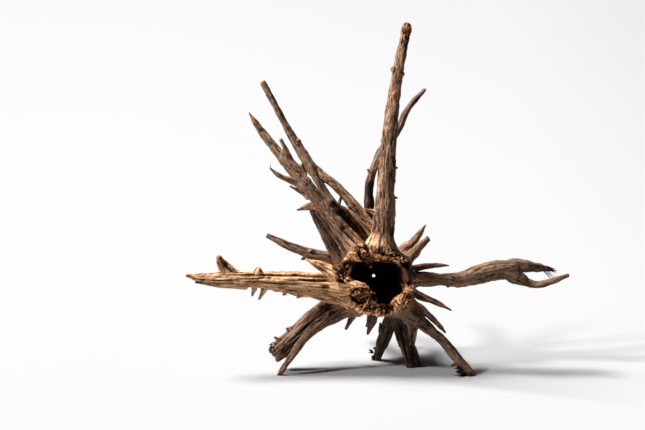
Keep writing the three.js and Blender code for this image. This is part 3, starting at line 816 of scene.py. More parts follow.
# What all the roots share. A noise has its size round the root and along it, in mm.
rodWood = dict(
    rowLength=1.15, columnLength=0.8,  # mm between rings, and between the points of a ring
    columns=(12, 150),  # fewest and most
    flutes=[(3, 0.06, 1, 2.5), (5, 0.03, -2, 4)],  # how many, depth, turn by seed, turn along
    fibres=(0.8, 9), bumps=(2.6, 4), splits=(4.4, 21), pits=(3, 4.6),
    lumps=(1.1, 7, 0.8),  # round, along, and how much longer for each mm of half-width
    fineWander=1.6, grooveMiddle=0.25,  # how much more fine grooves wander, and their mean depth
    ridgeHeight=0.05, bumpHeight=1.3, pitDepth=0.5,
    splitEdge=(0.20, 0.1, 0.14), splitShare=0.62,
    pitEdge=(0.27, 0.13), pitShare=0.42,
    # On thin wood these are weaker: below this half-width, down to this share.
    thinSplits=(5, 0), thinPits=(5, 0.3), thinBumps=(9, 0.15),
    # How the relief paints shade into grooves, splits and pits and light onto ridges, fibres and bumps.
    brightest=0.92, wideDark=0.95, fineDark=0.6, wideLight=0.3, fineLight=0.24,
    fibreLight=0.7, bumpLight=0.45, splitDark=0.6, pitDark=0.55,
    flareHeight=0.36, flareReach=(0.85, 1.5), flarePower=2.4,
    grainLength=8,
    # Near the mouth: where along y that starts and over how much, and how far from the hub it reaches.
    calm=(-48, 16, 1.4, 16), mouth=(-54, 20, 1.3, 14),
    mouthTone=0.3, mouthRelief=(0.8, 0.7), mouthBleach=0.1,  # tone and bleach gained, relief and share
    mostStain=0.97,
    wallStart=0.4, wallMiddle=0.55,  # shares of the hub's wall where a root begins and where it is laid
    wallFrom=5, holeFrom=55, holeTo=5,  # depths where it is laid, and where it keeps clear of the hole
    frontFade=(0.4, 0.5),  # how fast marks begin on its front: a share of its half-width, and the least
    leastRadius=0.15,  # that marks leave of it
    spurStart=0.98,  # how far a spur closes at its start, which is hidden in its root
    # How far from the tip its rounding begins: in mm, or as a share of the half-width if that is more.
    brokenReach=(1.5, 0.25), roundReach=(0.9, 0.9),
    brokenRound=0.12, tipRound=0.995,
    endRust=(0.85, 0.012), endBleach=(0.95, 0.01),  # how strong, and over what share of the length
)

# Each root: its path of [x, y, z, half-width] from inside the trunk to the tip, its spurs, which are
# short paths of the same kind, its marks and its brushes of hairs. What it doesn't say comes from here.
# The rot of marks that push grooves, pits and gaps in paints the shade that falls into them.
never = 2  # beyond the tip, for what begins at a share of a root's length
rootDefaults = dict(
    slot="weathered_root", cut=None,  # the cut is the slot's own if none is named
    parent=None, flare=1,  # grows from the hub if no parent is named
    broken=0,  # how jagged the end is, 0 for a round one
    onFloor=False, rustFrom=never, bleachFrom=never, spurs=[], marks=[], brushes=[],
)
roots = [
    dict(node="tall_root", cut="calm", tone=1.08,
         path=[[5, -58, 128, 17], [5, -66, 150, 15.4], [8, -68, 178, 12.4], [10, -64, 217, 9.8],
               [14, -58, 275, 8.5], [21, -50, 334, 6.8], [26, -46, 364, 6.1], [31, -43, 387, 5.3],
               [32, -42, 392, 5.1], [33.2, -41, 399, 5.9], [34.2, -40, 408.6, 4.6]],
         spurs=[[[20, -49, 354, 3.4], [14, -50, 356, 2.2]], [[24, -49, 349, 3.2], [31.5, -50, 349, 1.8]],
                [[13, -58, 272, 3], [3, -60, 273, 1]], [[14, -62, 240, 3], [24, -64, 241, 1]],
                [[13, -64, 206, 3], [24, -66, 206, 1]], [[0, -70, 188, 3.4], [-16, -74, 195, 0.9]]],
         marks=[mark(33, 398, 5.8, 6.5, push=-0.6, crumb=0.4, rust=0.95),
                mark(34, 406, 4.1, 2.9, crumb=0.2, rust=0.3),
                mark(32, 387, 6.7, 6.7, crumb=0.3, rot=0.68),
                mark(32, 396, 1.9, 1.4, 20, push=0.8, rot=0.75),
                # The long marks at x 19 and 14 paint shade down the right side, away from the key light.
                mark(37, 398, 1.1, 3.1, push=0.6, rot=0.6), mark(19, 262, 3.6, 70, -6, rot=0.36),
                mark(14, 175, 4.5, 26, rot=0.36)]),
    dict(node="upper_left_root", tone=0.86, rustFrom=0.9,
         path=[[-13, -60, 132, 13], [-29, -66, 153, 9], [-58, -64, 187, 7.5], [-79, -58, 214, 7.7],
               [-102, -52, 240, 6.3], [-129, -42, 272, 4.6], [-142, -37, 289, 3.4],
               [-151, -34, 303, 0.8]],
         spurs=[[[-79, -56, 203, 3.6], [-87, -56, 210, 2.6], [-103, -58, 219, 1]],
                [[-66, -56, 196, 6.6], [-79, -54, 194, 4.4], [-95, -52, 189, 1.2]],
                [[-86, -50, 226, 5], [-90, -46, 244, 2.8]]],
         marks=[mark(-89, 243, 1.2, 3.1, -10, bleach=0.8), mark(-91, 245, 1.7, 1.4, push=0.8, rot=0.9),
                mark(-52, 177, 12, 3.1, -52, bleach=0.35), mark(-32, 161, 8.4, 1, -48, push=2, rot=0.9),
                mark(-40, 172, 3.6, 1.7, -40, push=2, rot=0.7)]),
    dict(node="left_root", slot="bare_wood", tone=1.1,
         path=[[-29, -60, 97, 18], [-52, -67, 99, 15.8], [-70, -71, 102, 13.8], [-97, -73, 105, 12],
               [-137, -77, 110, 9], [-177, -81, 112, 7.4], [-204, -84, 114, 5.2], [-224, -86, 118, 1.6]],
         spurs=[[[-166, -74, 112, 5.6], [-173, -75, 121, 6.2], [-180, -76, 129, 4.8],
                 [-184, -77, 135, 3.6], [-186, -78, 140, 2.8]],
                [[-177, -75, 117, 5], [-181, -76, 124, 4.4], [-185, -77, 132, 3.2], [-186, -78, 137, 2]],
                [[-161, -74, 116, 4], [-169, -75, 120, 3.6], [-177, -76, 127, 3.6],
                 [-182, -77, 133, 2.4]],
                [[-139, -76, 115, 5.6], [-140, -76, 121, 4.8], [-138, -76, 125.5, 3.8]],
                [[-143, -78, 102, 3], [-147, -80, 91, 1.2]],
                [[-131, -78, 102, 3.6], [-139, -80, 87, 1.3]], [[-107, -76, 95, 3], [-111, -78, 92, 1]],
                [[-80, -76, 95, 3.6], [-95, -78, 89, 1.2]],
                [[-150, -81, 105, 5], [-182, -84, 107, 4], [-213, -87, 110, 1.2]]],
         marks=[mark(-134, 123, 4.1, 3.6, rot=0.55), mark(-182, 129, 6, 9.6, -30, rot=0.38),
                mark(-134, 126, 1.2, 1.2, push=1, rot=0.7),
                mark(-72, 111, 19.2, 1.1, -3, push=3, rot=0.9),
                mark(-60, 104, 5.4, 2.4, -10, push=3, rot=0.5),
                mark(-112, 108, 24, 0.8, -2, push=1.6, rot=0.8),
                mark(-149, 114, 26.4, 0.7, 1, push=1.4, rot=0.7),
                mark(-74, 106, 18, 2.6, -3, bleach=0.7)]),
    dict(node="right_root", cut="smooth", tone=0.58,
         path=[[24, -50, 108, 12], [55, -50, 106, 9], [77, -52, 106, 7], [99, -53, 106, 8.9],
               [125, -56, 114, 11.1], [144, -58, 118, 11.7], [157, -60, 118, 11.2],
               [170, -60, 114.5, 8.6]],
         spurs=[[[86, -54, 101, 3], [84, -55, 96, 1.2]]],
         marks=[mark(151, 122, 15.6, 0.8, 13, push=0.8, rot=0.8),
                mark(107, 113, 1.1, 2.9, push=0.5, rot=0.7), mark(132, 110, 19.2, 0.7, 6, rot=0.4),
                mark(181, 117, 3.6, 6, 30, rot=0.3)]),
    dict(node="right_root_upper_fork", cut="calm", parent="right_root", tone=0.5, broken=1.5, flare=0,
         path=[[150, -56, 121.5, 7.6], [162, -56, 123.4, 7.6], [175, -56, 122.6, 7], [188, -56, 121, 5.2],
               [200, -55, 119.5, 3.4], [208, -54, 118, 1.7]],
         brushes=[dict(at=(200.3, -56, 120.2), way=(1, -0.3, -0.35), count=30, length=9, wide=2.4,
                       spread=0.22, thick=0.5, tone=0.25),
                  dict(at=(199.1, -57, 118), way=(0.9, -0.2, -0.75), count=9, length=14, wide=2.2,
                       spread=0.22, thick=0.36, tone=0.3),
                  dict(at=(185.8, -58, 123), way=(1, -0.3, 0), count=24, length=7, wide=3, spread=0.14,
                       thick=0.6, tone=0.5)]),
    dict(node="right_root_lower_fork", cut="calm", parent="right_root", tone=0.55, flare=0,
         path=[[152, -61, 115.5, 10.4], [162, -62, 112.2, 9], [170, -63, 108.4, 7], [179, -64, 104, 5],
               [190, -66, 102, 4.2], [207, -68, 107, 3.6], [226, -70, 115, 2.2]]),
    dict(node="thick_lower_root", tone=0.68, broken=3,
         path=[[-24, -48, 83, 18], [-46, -52, 73, 15], [-71, -58, 59, 12.5], [-90, -64, 43, 11],
               [-108, -70, 28, 10.8], [-121, -74, 18, 9.2]],
         spurs=[[[-99, -66, 48, 3.6], [-108, -66, 49, 1.4]],
                [[-112, -70, 35, 3.8], [-122, -70, 40, 1.3]]],
         marks=[mark(-61, 76, 6.6, 4.8, 40, push=3, rot=0.9),
                mark(-51, 67, 4.2, 5.4, 50, push=3, rot=0.9),
                mark(-72, 56, 7.2, 1.7, 45, push=2.5, rot=0.9),
                mark(-87, 50, 18, 1.3, 41, push=2, rot=0.85),
                mark(-101, 32, 15.6, 1.2, 45, push=1.6, rot=0.8),
                mark(-111, 40, 12, 1.1, 42, push=1.2, rot=0.7)],
         brushes=[dict(at=(-121.5, -76, 29.1), way=(-0.9, -0.4, -0.3), count=60, length=2.4, wide=5,
                       spread=0.3, thick=0.8, tone=0.8)]),
    dict(node="left_leg", cut="calm", tone=0.6, onFloor=True,
         path=[[-20, -54, 78, 13], [-40, -60, 69, 8.6], [-65, -70, 55, 5.4], [-86, -79, 39, 4.4],
               [-98, -88, 24, 4.2], [-110, -93, 8, 3.1], [-117, -95, -4, 2.4]]),
    dict(node="right_leg", cut="calm", tone=0.46, onFloor=True,
         path=[[24, -58, 82, 17], [41, -62, 66, 11.4], [59, -70, 52, 6.2], [78, -78, 37, 4.9],
               [94, -87, 19, 5.6], [114, -94, -4, 5.2]],
         spurs=[[[96, -88, 14, 3.4], [86, -91, 10, 1]], [[103, -90, 7, 3.8], [92, -93, 3, 1.1]]],
         brushes=[dict(at=(101.8, -92, 8), way=(-1, -0.4, 0.1), count=30, length=9, wide=1.8, spread=0.3,
                       thick=0.8, tone=0.3),
                  dict(at=(105.4, -93, -0.2), way=(-1, -0.5, 0.05), count=44, length=11, wide=2.4,
                       spread=0.28, thick=0.8, tone=0.2),
                  dict(at=(108.8, -94, 1.3), way=(-0.2, -0.6, -0.5), count=36, length=6, wide=4,
                       spread=0.4, thick=0.8, tone=0.2)]),
    dict(node="right_leg_stub", parent="right_leg", tone=0.85, broken=1.5,
         path=[[38, -58, 66, 7], [43, -60, 52, 6.2], [41, -58, 28, 4.8]]),
    dict(node="middle_leg", slot="dark_root", tone=0.38, onFloor=True,
         path=[[20, -48, 82, 11], [26, -53, 60, 8.8], [34, -57, 30, 6.8], [42, -60, -4, 5]],
         spurs=[[[30, -52, 48, 5], [41, -54, 22, 5.6], [49, -56, -4, 5.2]]],
         marks=[mark(33, 27, 1.4, 20.4, 12, push=1.5, rot=0.9),
                mark(42, 23, 1.3, 19.2, 14, push=1.5, rot=0.9), mark(27, 45, 4.8, 9.6, rot=0.6)]),
    dict(node="rear_left_leg", slot="dark_root", tone=0.5, onFloor=True,
         path=[[19, -36, 80, 10], [17, -33, 52, 7], [11, -30, 29, 6.8], [5, -28, 11, 5.4],
               [0, -26, -4, 4.2]],
         spurs=[[[13, -31, 34, 5], [8, -31, 38, 4], [5, -31, 48, 0.9]],
                [[6, -28, 14, 3], [-3, -28, 15, 1]]],
         brushes=[dict(at=(-2.8, -27, 9.8), way=(-1, -0.3, 0.4), count=16, length=3.4, wide=1.6,
                       spread=0.4, thick=0.9, tone=0.4),
                  dict(at=(-0.4, -27, 3.5), way=(-0.9, -0.5, -0.3), count=20, length=4.5, wide=1.6,
                       spread=0.4, thick=0.6, tone=0.4)]),
    dict(node="rear_leg", slot="dark_root", tone=0.5, onFloor=True,
         path=[[12, -18, 82, 11], [22, 0, 50, 7.4], [31, 18, 24, 6], [38, 38, -4, 5]]),
    dict(node="shoulder_root", cut="calm", tone=0.54, broken=1,
         path=[[-29, -46, 120, 10], [-48, -44, 128, 8], [-76, -38, 133, 6.2], [-103, -30, 141, 5],
               [-131, -22, 153, 2.9]],
         spurs=[[[-80, -38, 131, 3.6], [-90, -40, 127, 1.2]]],
         marks=[mark(-74, 136, 4.2, 3.1, -10, push=1.5, rot=0.9),
                mark(-52, 131, 7.2, 1.4, -15, push=1.5, rot=0.9),
                mark(-87, 140, 7.2, 1.1, -15, push=1, rot=0.7)]),
    dict(node="rim_splinter", slot="bare_wood", tone=1.12,
         path=[[-36, -72, 108, 9.4], [-50, -77, 117, 7.6], [-66, -74, 126, 5], [-84, -71, 134, 1]]),
    dict(node="inner_strand", tone=0.5,
         path=[[-29, -54, 127, 9], [-41, -54, 149, 5.2], [-56, -52, 167, 3.8], [-72, -54, 191, 4.2]]),
    dict(node="outer_strand", tone=0.56,
         path=[[-40, -50, 122, 8], [-52, -48, 142, 6], [-66, -46, 168, 4.4], [-77, -52, 194, 4.4]]),
    dict(node="side_twig", parent="upper_left_root", tone=0.8,
         path=[[-82, -56, 215, 4.4], [-98, -58, 224, 3.6], [-114, -60, 231, 2.9], [-126, -62, 241, 0.8]],
         brushes=[dict(at=(-125.4, -62, 239.4), way=(0, 0, 1), count=3, length=7, wide=0.3, spread=0.12,
                       thick=0.35, tone=0.7, sag=0)]),
    dict(node="flaked_prong", parent="upper_left_root", tone=0.8,
         path=[[-92, -50, 233, 5], [-103, -46, 252, 3], [-114, -42, 273, 1.8]]),
    dict(node="long_upper_root", cut="calm", parent="upper_right_branch", tone=0.64, broken=0.6, flare=0,
         bleachFrom=0.985,
         path=[[-70, -4, 220, 5.6], [-79, 0, 234, 6.6], [-95, 10, 259, 5.4], [-109, 18, 282, 4],
               [-123, 26, 307, 3.9], [-137.5, 34, 333, 3.5]],
         spurs=[[[-127, 29, 318, 2.6], [-133.5, 28, 316.5, 1.5]],
                [[-94, 10, 262, 3.8], [-92.5, 10, 266, 2.6]]]),
    dict(node="upper_right_branch", cut="calm", tone=1.18,
         path=[[2, -34, 155, 11], [-18, -26, 178, 7], [-37, -16, 200, 5.3], [-51, -8, 213, 5.1],
               [-66, -3, 224, 5.3], [-77, 0, 234, 4.8]],
         # These marks paint the shade on the lower end of the branch.
         marks=[mark(-23, 167, 7.2, 3.8, -48, push=2, rot=0.95),
                mark(-32, 171, 4.8, 3.6, -40, push=1.5, rot=0.9),
                mark(-16, 153, 6, 3.6, -50, push=1.5, rot=0.9),
                mark(-28, 176, 10, 4.2, -45, push=1, rot=0.8),
                mark(-18, 164, 10, 6, -50, push=2, rot=0.93), mark(-34, 186, 4, 3, rot=0.7)]),
    dict(node="upper_left_branch", cut="calm", tone=0.7,
         path=[[-8, -32, 170, 4], [-35, -25, 183, 3.6], [-46, -20, 188, 3.6], [-56, -14, 197, 4.2],
               [-67, -8, 213, 5], [-76, -2, 229, 4.5]],
         spurs=[[[-46, -20, 187, 2], [-40, -14, 203, 1.6]]],
         # This mark paints the shade on the branch among the tangle.
         marks=[mark(-36, 184, 9.6, 4.8, -30, rot=0.7)]),
    # The tangle root lies in shade behind the upper roots: its low tone and its marks are painted shade.
    dict(node="tangle_root", slot="dark_root", tone=0.34, broken=1,
         path=[[-10, -42, 144, 8.4], [-24, -38, 161, 9], [-37, -38, 177, 8.2], [-54, -37, 197, 3.6]],
         marks=[mark(-40, 178, 10.8, 4.8, -50, rot=0.8), mark(-29, 162, 8.4, 6, -50, rot=0.9)]),
    dict(node="pale_twig", slot="bare_wood", tone=0.85, broken=0.6,
         path=[[-3, -48, 153, 3.6], [-13, -50, 168, 2.5], [-25, -48, 180, 2.3], [-35, -46, 190, 1.6]]),
    dict(node="slim_back_root", slot="dark_root", cut="calm", tone=0.85, broken=0.6,
         path=[[2, -30, 140, 9.5], [-7, -24, 179, 5.6], [-8, -20, 211, 5.2], [-4, -16, 229, 4.8],
               [8, -6, 256, 4.4], [26, 2, 276, 4.2], [36, 8, 298, 3.8], [46, 14, 311, 3.4],
               [60, 20, 325, 2.2]],
         spurs=[[[-4, -17, 226, 3.2], [-11, -18, 233, 1.1]]],
         # These marks paint the shade beside the tall root's flare.
         marks=[mark(-6, 183, 8.4, 16.8, rot=0.93), mark(-6, 208, 7.2, 12, rot=0.93)]),
    dict(node="upper_right_stub", tone=0.85, broken=1.2,
         path=[[22, -50, 116, 11], [42, -52, 135, 6.6], [50, -54, 145, 4.8], [61, -56, 156, 3.2]]),
    dict(node="upper_right_spur", slot="dark_root", tone=1.6,
         path=[[20, -42, 124, 10], [34, -41, 139, 6.4], [44, -40, 149, 3.7], [51, -38, 158, 3],
               [59, -36, 169, 0.8]]),
    dict(node="right_twig", cut="calm", tone=1.15,
         path=[[30, -38, 110, 7], [52, -37, 117, 3.9], [67, -36, 119, 3], [77, -34, 119, 2.2],
               [88, -32, 118, 0.8]]),
    dict(node="lower_right_spur_upper", slot="dark_root", cut="calm", tone=2.2,
         path=[[28, -50, 98, 9], [50, -50, 86, 5], [68, -52, 79, 3.5], [90, -55, 68, 1]]),
    dict(node="lower_right_spur_lower", slot="dark_root", cut="calm", tone=2.1,
         path=[[28, -52, 85, 9], [49, -54, 73, 5], [64, -56, 61, 3.6], [75, -57, 50, 2.5],
               [83, -58, 41, 1]],
         spurs=[[[23, -78, 70, 1.3], [25.7, -89, 79.3, 0.8], [30.7, -92, 90.8, 0.7],
                 [39.2, -91, 108.6, 0.4]]]),
    dict(node="bottom_spur_left", slot="dark_root", tone=1,
         path=[[-15, -42, 82, 8], [-26, -42, 62, 4.4], [-37, -40, 41, 1.7]]),
    dict(node="bottom_spur_middle", slot="dark_root", tone=1,
         path=[[-2, -42, 80, 9], [-4, -42, 56, 5], [-10, -42, 35, 1.5]],
         spurs=[[[-5, -41, 62, 4], [-12, -40, 44, 1]]]),
    dict(node="back_root", tone=0.8, broken=1.5,
         path=[[-8, -28, 120, 13], [-22, 16, 142, 9], [-34, 58, 152, 6.6], [-40, 96, 150, 4]],
         spurs=[[[-28, 40, 148, 4.6], [-24, 52, 162, 1.4]]]),
    dict(node="back_stub_left", tone=0.7, broken=2,
         path=[[-15, -20, 81, 11], [-18, 14, 81, 9.2], [-24, 42, 72, 7.5], [-29, 72, 62, 5]]),
    dict(node="back_stub_right", tone=0.7, broken=2,
         path=[[12, -24, 108, 13], [22, 14, 110, 8.6], [29, 44, 106, 6]]),
]


# A smooth curve through points: between two of them it is a cubic whose slopes at both ends follow
# the points before and after, each span weighted by the square root of its length.
def smoothCurve(points, perSpan=24):
    p = np.vstack([2 * points[0] - points[1], points, 2 * points[-1] - points[-2]])
    step = np.sqrt(np.linalg.norm(np.diff(p, axis=0), axis=1))[:, None]
    before, span, after = step[:-2], step[1:-1], step[2:]
    a, b, c, d = p[:-3], p[1:-2], p[2:-1], p[3:]
    leave = span * ((b - a) / before - (c - a) / (before + span) + (c - b) / span)
    arrive = span * ((c - b) / span - (d - b) / (span + after) + (d - c) / after)
    t = (np.arange(perSpan) / perSpan)[None, :, None]
    curve = (b[:, None] * (2 * t ** 3 - 3 * t ** 2 + 1) + leave[:, None] * (t ** 3 - 2 * t ** 2 + t)
             + c[:, None] * (3 * t ** 2 - 2 * t ** 3) + arrive[:, None] * (t ** 3 - t ** 2))
    return np.vstack([curve.reshape(-1, 3), points[-1:]])


# Rings of a path at even steps: the middle, half-width and length along it of each.
def layRings(path):
    path = np.array(path, float)
    fine = smoothCurve(path[:, :3])
    length = np.concatenate([[0], np.cumsum(np.linalg.norm(np.diff(fine, axis=0), axis=1))])
    along = np.linspace(0, length[-1], max(6, round(length[-1] / rodWood["rowLength"])) + 1)
    middle = np.stack([np.interp(along, length, fine[:, k]) for k in range(3)], 1)
    knot = np.interp(along, length, np.linspace(0, len(path) - 1, len(fine)))
    span = np.minimum(knot.astype(int), len(path) - 2)
    width = path[span, 3] + ease(knot - span) * (path[span + 1, 3] - path[span, 3])
    return middle, width, along


# Directions along and across the path for each ring, carried along it without turning round it.
def carryFrames(middle):
    tangent = np.gradient(middle, axis=0)
    tangent /= np.linalg.norm(tangent, axis=1, keepdims=True)
    first = np.eye(3)[np.argmin(np.abs(tangent[0]))]
    across = np.cross(tangent[0], first)
    normal = np.cross(tangent[0], across / np.linalg.norm(across))
    normals = []
    for direction in tangent:
        normal = normal - direction * (normal @ direction)
        normal = normal / np.linalg.norm(normal)
        normals.append(normal)
    normals = np.array(normals)
    return tangent, normals, np.cross(tangent, normals)


# Distance of points from the surface of a root, below zero inside it: the least over every second
# ring of the distance to the ring's middle less its half-width.
def rodDistance(points, middle, width):
    flat = points.reshape(-1, 3)
    best = np.full(len(flat), 1e9)
    for centre, half in zip(middle[::2], width[::2]):
        best = np.minimum(best, np.linalg.norm(flat - centre, axis=1) - half)
    return best.reshape(points.shape[:-1])


# Distance of points from the hub's outside, below zero in it.
def hubDistance(points):
    angle, depth, radius = hubPlace(points)
    outside = hubRadius(angle, np.clip(depth, 0, hub["depth"]), 1.0)
    return np.maximum(radius - outside, np.maximum(-depth, depth - hub["depth"]))


# The radius at a share of the hub's wall, and whether places are nearer to the axis than that.
def withinWall(angle, depth, radius, share):
    wall = hubRadius(angle, np.clip(depth, 0, hub["depth"]), share)
    return wall, (radius < wall) & (depth > -2) & (depth < hub["depth"])


# Rings whose middles lie in the cavity are left out, all but the last one. So are rings near the
# back hole that would reach into it.
def ringsFromWall(middle, width):
    angle, depth, radius = hubPlace(middle)
    isIn = withinWall(angle, depth, radius, rodWood["wallStart"])[1]
    tangent = np.gradient(middle, axis=0)
    alongAxis = np.abs(tangent[:, 1]) / np.linalg.norm(tangent, axis=1)
    isNearHole = (depth > rodWood["holeFrom"]) & (depth < hub["depth"] - rodWood["holeTo"])
    reachesHole = isNearHole & (radius - alongAxis * width < eased(hub["cavity"], depth) + 1)
    inside = np.flatnonzero(isIn | reachesHole)
    return inside[-1] if len(inside) else 0


# What of a root still lies inside the trunk is laid in the middle of the wall, clear of the cavity.
def tuckIntoHub(points):
    angle, depth, radius = hubPlace(points)
    wall, isTucked = withinWall(angle, depth, radius, rodWood["wallMiddle"])
    depth = np.where(isTucked, np.maximum(depth, rodWood["wallFrom"]), depth)
    return np.where(isTucked[..., None], hubPoint(angle, depth, wall), points)


# What a root's marks do on its front: the push, how much the relief keeps, and of each stain the
# strongest.
def rootMarks(points, isFront, marks):
    push, crumb = np.zeros(isFront.shape), np.zeros(isFront.shape)
    stainAndShade = np.zeros(points.shape)
    for oval in marks:
        amount = insideOval(oval, points[..., 0], points[..., 2]) * isFront
        push += amount * oval["kinds"].get("push", 0)
        crumb += amount * oval["kinds"].get("crumb", 0)
        for axis, kind in enumerate(stainAndShadeColours):
            stainAndShade[..., axis] = np.maximum(stainAndShade[..., axis], amount * oval["kinds"].get(kind, 0))
    if crumb.max() == 0:
        return push, 1, stainAndShade
    crumbPush, kept, crumbStain = crumble(points, crumb)
    return push - crumbPush, kept, np.maximum(stainAndShade, crumbStain)


# Near the mouth: eased from 0 to 1 from a place along y to the front, and from a reach to the hub.
def nearFront(points, away, blend, strength=1):
    front, fade, reach, spread = blend
    return strength * ease(reach - away / spread) * ease((front - points[..., 1]) / fade)


# The wood of a rod as its radius, its relief and its place in the grain. Flutes, lumps and grooves
# between ridges change the half-width by a share of it, and fibres, bumps, splits and pits by mm. The
# relief paints shade into the grooves, splits and pits and light onto the fibres and bumps, besides
# each ridge's own tone.
def cutGrain(cut, theta, s, w, share, calm, seed):
    wood = rodWood
    turned = theta + cut["twist"] * s
    ringX, ringY = np.cos(turned), np.sin(turned)
    seeds = 100 * seed

    def onSkin(size, length):
        return np.stack([ringX * w / size, ringY * w / size, s / length], -1)

    def onThin(halfWidth, least):
        return np.clip(w / halfWidth, least, 1)

    girth = 2 * math.pi * np.median(w[:, 0])
    wideCount, fineCount = (max(3, round(girth / cut[key])) for key in ("wideStep", "fineStep"))
    wide, wideOwn = ridges(turned, s, wideCount, cut["wander"], cut["length"], cut["opening"],
                           cut["sharp"], seeds + 1)
    fine, fineOwn = ridges(turned, s, fineCount, wood["fineWander"] * cut["wander"],
                           cut["length"] / 2, cut["opening"] / 2, cut["sharp"], seeds + 11)
    wide, fine = wide * (1 - calm), fine * (1 - calm)
    lumpRound, lumpLength, lumpMore = wood["lumps"]
    place = np.stack([ringX * lumpRound, ringY * lumpRound, s / (lumpLength + lumpMore * w)], -1)
    lumps = softNoise(place, seeds + 5) - 0.5
    fibres = softNoise(onSkin(*wood["fibres"]), seeds + 4) - 0.5
    bumps = softNoise(onSkin(*wood["bumps"]), seeds + 6) - 0.5
    near, _, own = crumbNoise(onSkin(*wood["splits"]), seeds + 21)
    edge, more, fade = wood["splitEdge"]
    splits = ease((edge + more * own - near) / fade) * (own > wood["splitShare"])
    splits = splits * onThin(*wood["thinSplits"])
    near, _, own = crumbNoise(onSkin(*wood["pits"]), seeds + 31)
    edge, fade = wood["pitEdge"]
    pits = ease((edge - near) / fade) * (own > wood["pitShare"]) * onThin(*wood["thinPits"])
    flutes = sum(depth * np.sin(count * theta + bySeed * seed + more * share)
                 for count, depth, bySeed, more in wood["flutes"])
    radius = w * (1 + flutes + cut["lumps"] * lumps + wood["ridgeHeight"] * (wideOwn - 0.5)
                  - cut["wideDepth"] * (wide - wood["grooveMiddle"])
                  - cut["fineDepth"] * (fine - wood["grooveMiddle"]))
    radius = radius + cut["fibres"] * fibres + onThin(*wood["thinBumps"]) * wood["bumpHeight"] * bumps
    radius = radius - cut["splits"] * splits - wood["pitDepth"] * pits
    dark = wood["wideDark"] * wide + wood["fineDark"] * fine
    dark = dark - wood["wideLight"] * (wideOwn - 0.5) - wood["fineLight"] * (fineOwn - 0.5)
    relief = wood["brightest"] - cut["dark"] * dark
    relief = relief + wood["fibreLight"] * fibres + wood["bumpLight"] * bumps
    relief = relief - wood["splitDark"] * splits - wood["pitDark"] * pits
    return radius, relief, np.stack([ringX * w, ringY * w, s / wood["grainLength"]], -1)


# At the mouth a root takes the marks of the hub's front, and its relief is evened out.
def blendAtMouth(points, away, relief, tone, stainAndShade):
    nearMouth = nearFront(points, away, rodWood["mouth"])
    beside = nearMouth > 0.01
    amount = nearMouth[beside]
    mouth = marksAt(points[beside])
    crumb = amount * np.clip(mouth["crumb"], 0, hubWood["mostCrumb"])
    crumbPush, crumbRelief, crumbStain = crumble(points[beside], crumb)
    points[beside, 1] += amount * mouth["push"] - crumbPush
    even, evened = rodWood["mouthRelief"]
    relief[beside] += (even - relief[beside]) * evened * amount
    relief[beside] *= crumbRelief
    atMouth = np.stack([mouth["rust"], mouth["bleach"] + rodWood["mouthBleach"], mouth["rot"]], -1)
    stainAndShade[beside] += crumbStain + amount[:, None] * atMouth
    tone = tone * (1 + rodWood["mouthTone"] * nearMouth)
    return tuckIntoHub(points), relief, tone, np.clip(stainAndShade, 0, rodWood["mostStain"])


# The radius towards the tip, along which the rounding grows as a square: a broken end narrows a
# little, and any other one closes as the root of one less that square.
def roundTip(radius, s, halfWidth, isBroken):
    wood = rodWood
    leastReach, reachShare = wood["brokenReach"] if isBroken else wood["roundReach"]
    reach = max(leastReach, reachShare * halfWidth)
    rounding = np.clip((s - (s[-1, 0] - reach)) / reach, 0, 1) ** 2
    if isBroken:
        return radius * (1 - wood["brokenRound"] * rounding)
    return radius * np.sqrt(1 - wood["tipRound"] * rounding)


# The mesh of a rod. A fan of triangles closes each end.
def closeRod(points, values):
    rows, columns = points.shape[:2]
    count = rows * columns
    ends = np.stack([points[0].mean(0), points[-1].mean(0)])
    here, there = np.arange(columns), (np.arange(columns) + 1) % columns
    startFan = np.stack([there, here, np.full(columns, count)], -1)
    endFan = np.stack([here + count - columns, there + count - columns, np.full(columns, count + 1)], -1)
    flat = {key: np.concatenate([value.reshape(count, *value.shape[2:]), value[[0, -1], 0]])
            for key, value in values.items()}
    flat["relief"] = np.clip(flat["relief"], 0, 1)
    return dict(points=np.vstack([points.reshape(-1, 3), ends]), quads=gridFaces(rows, columns),
                triangles=np.concatenate([startFan, endFan]), **flat)


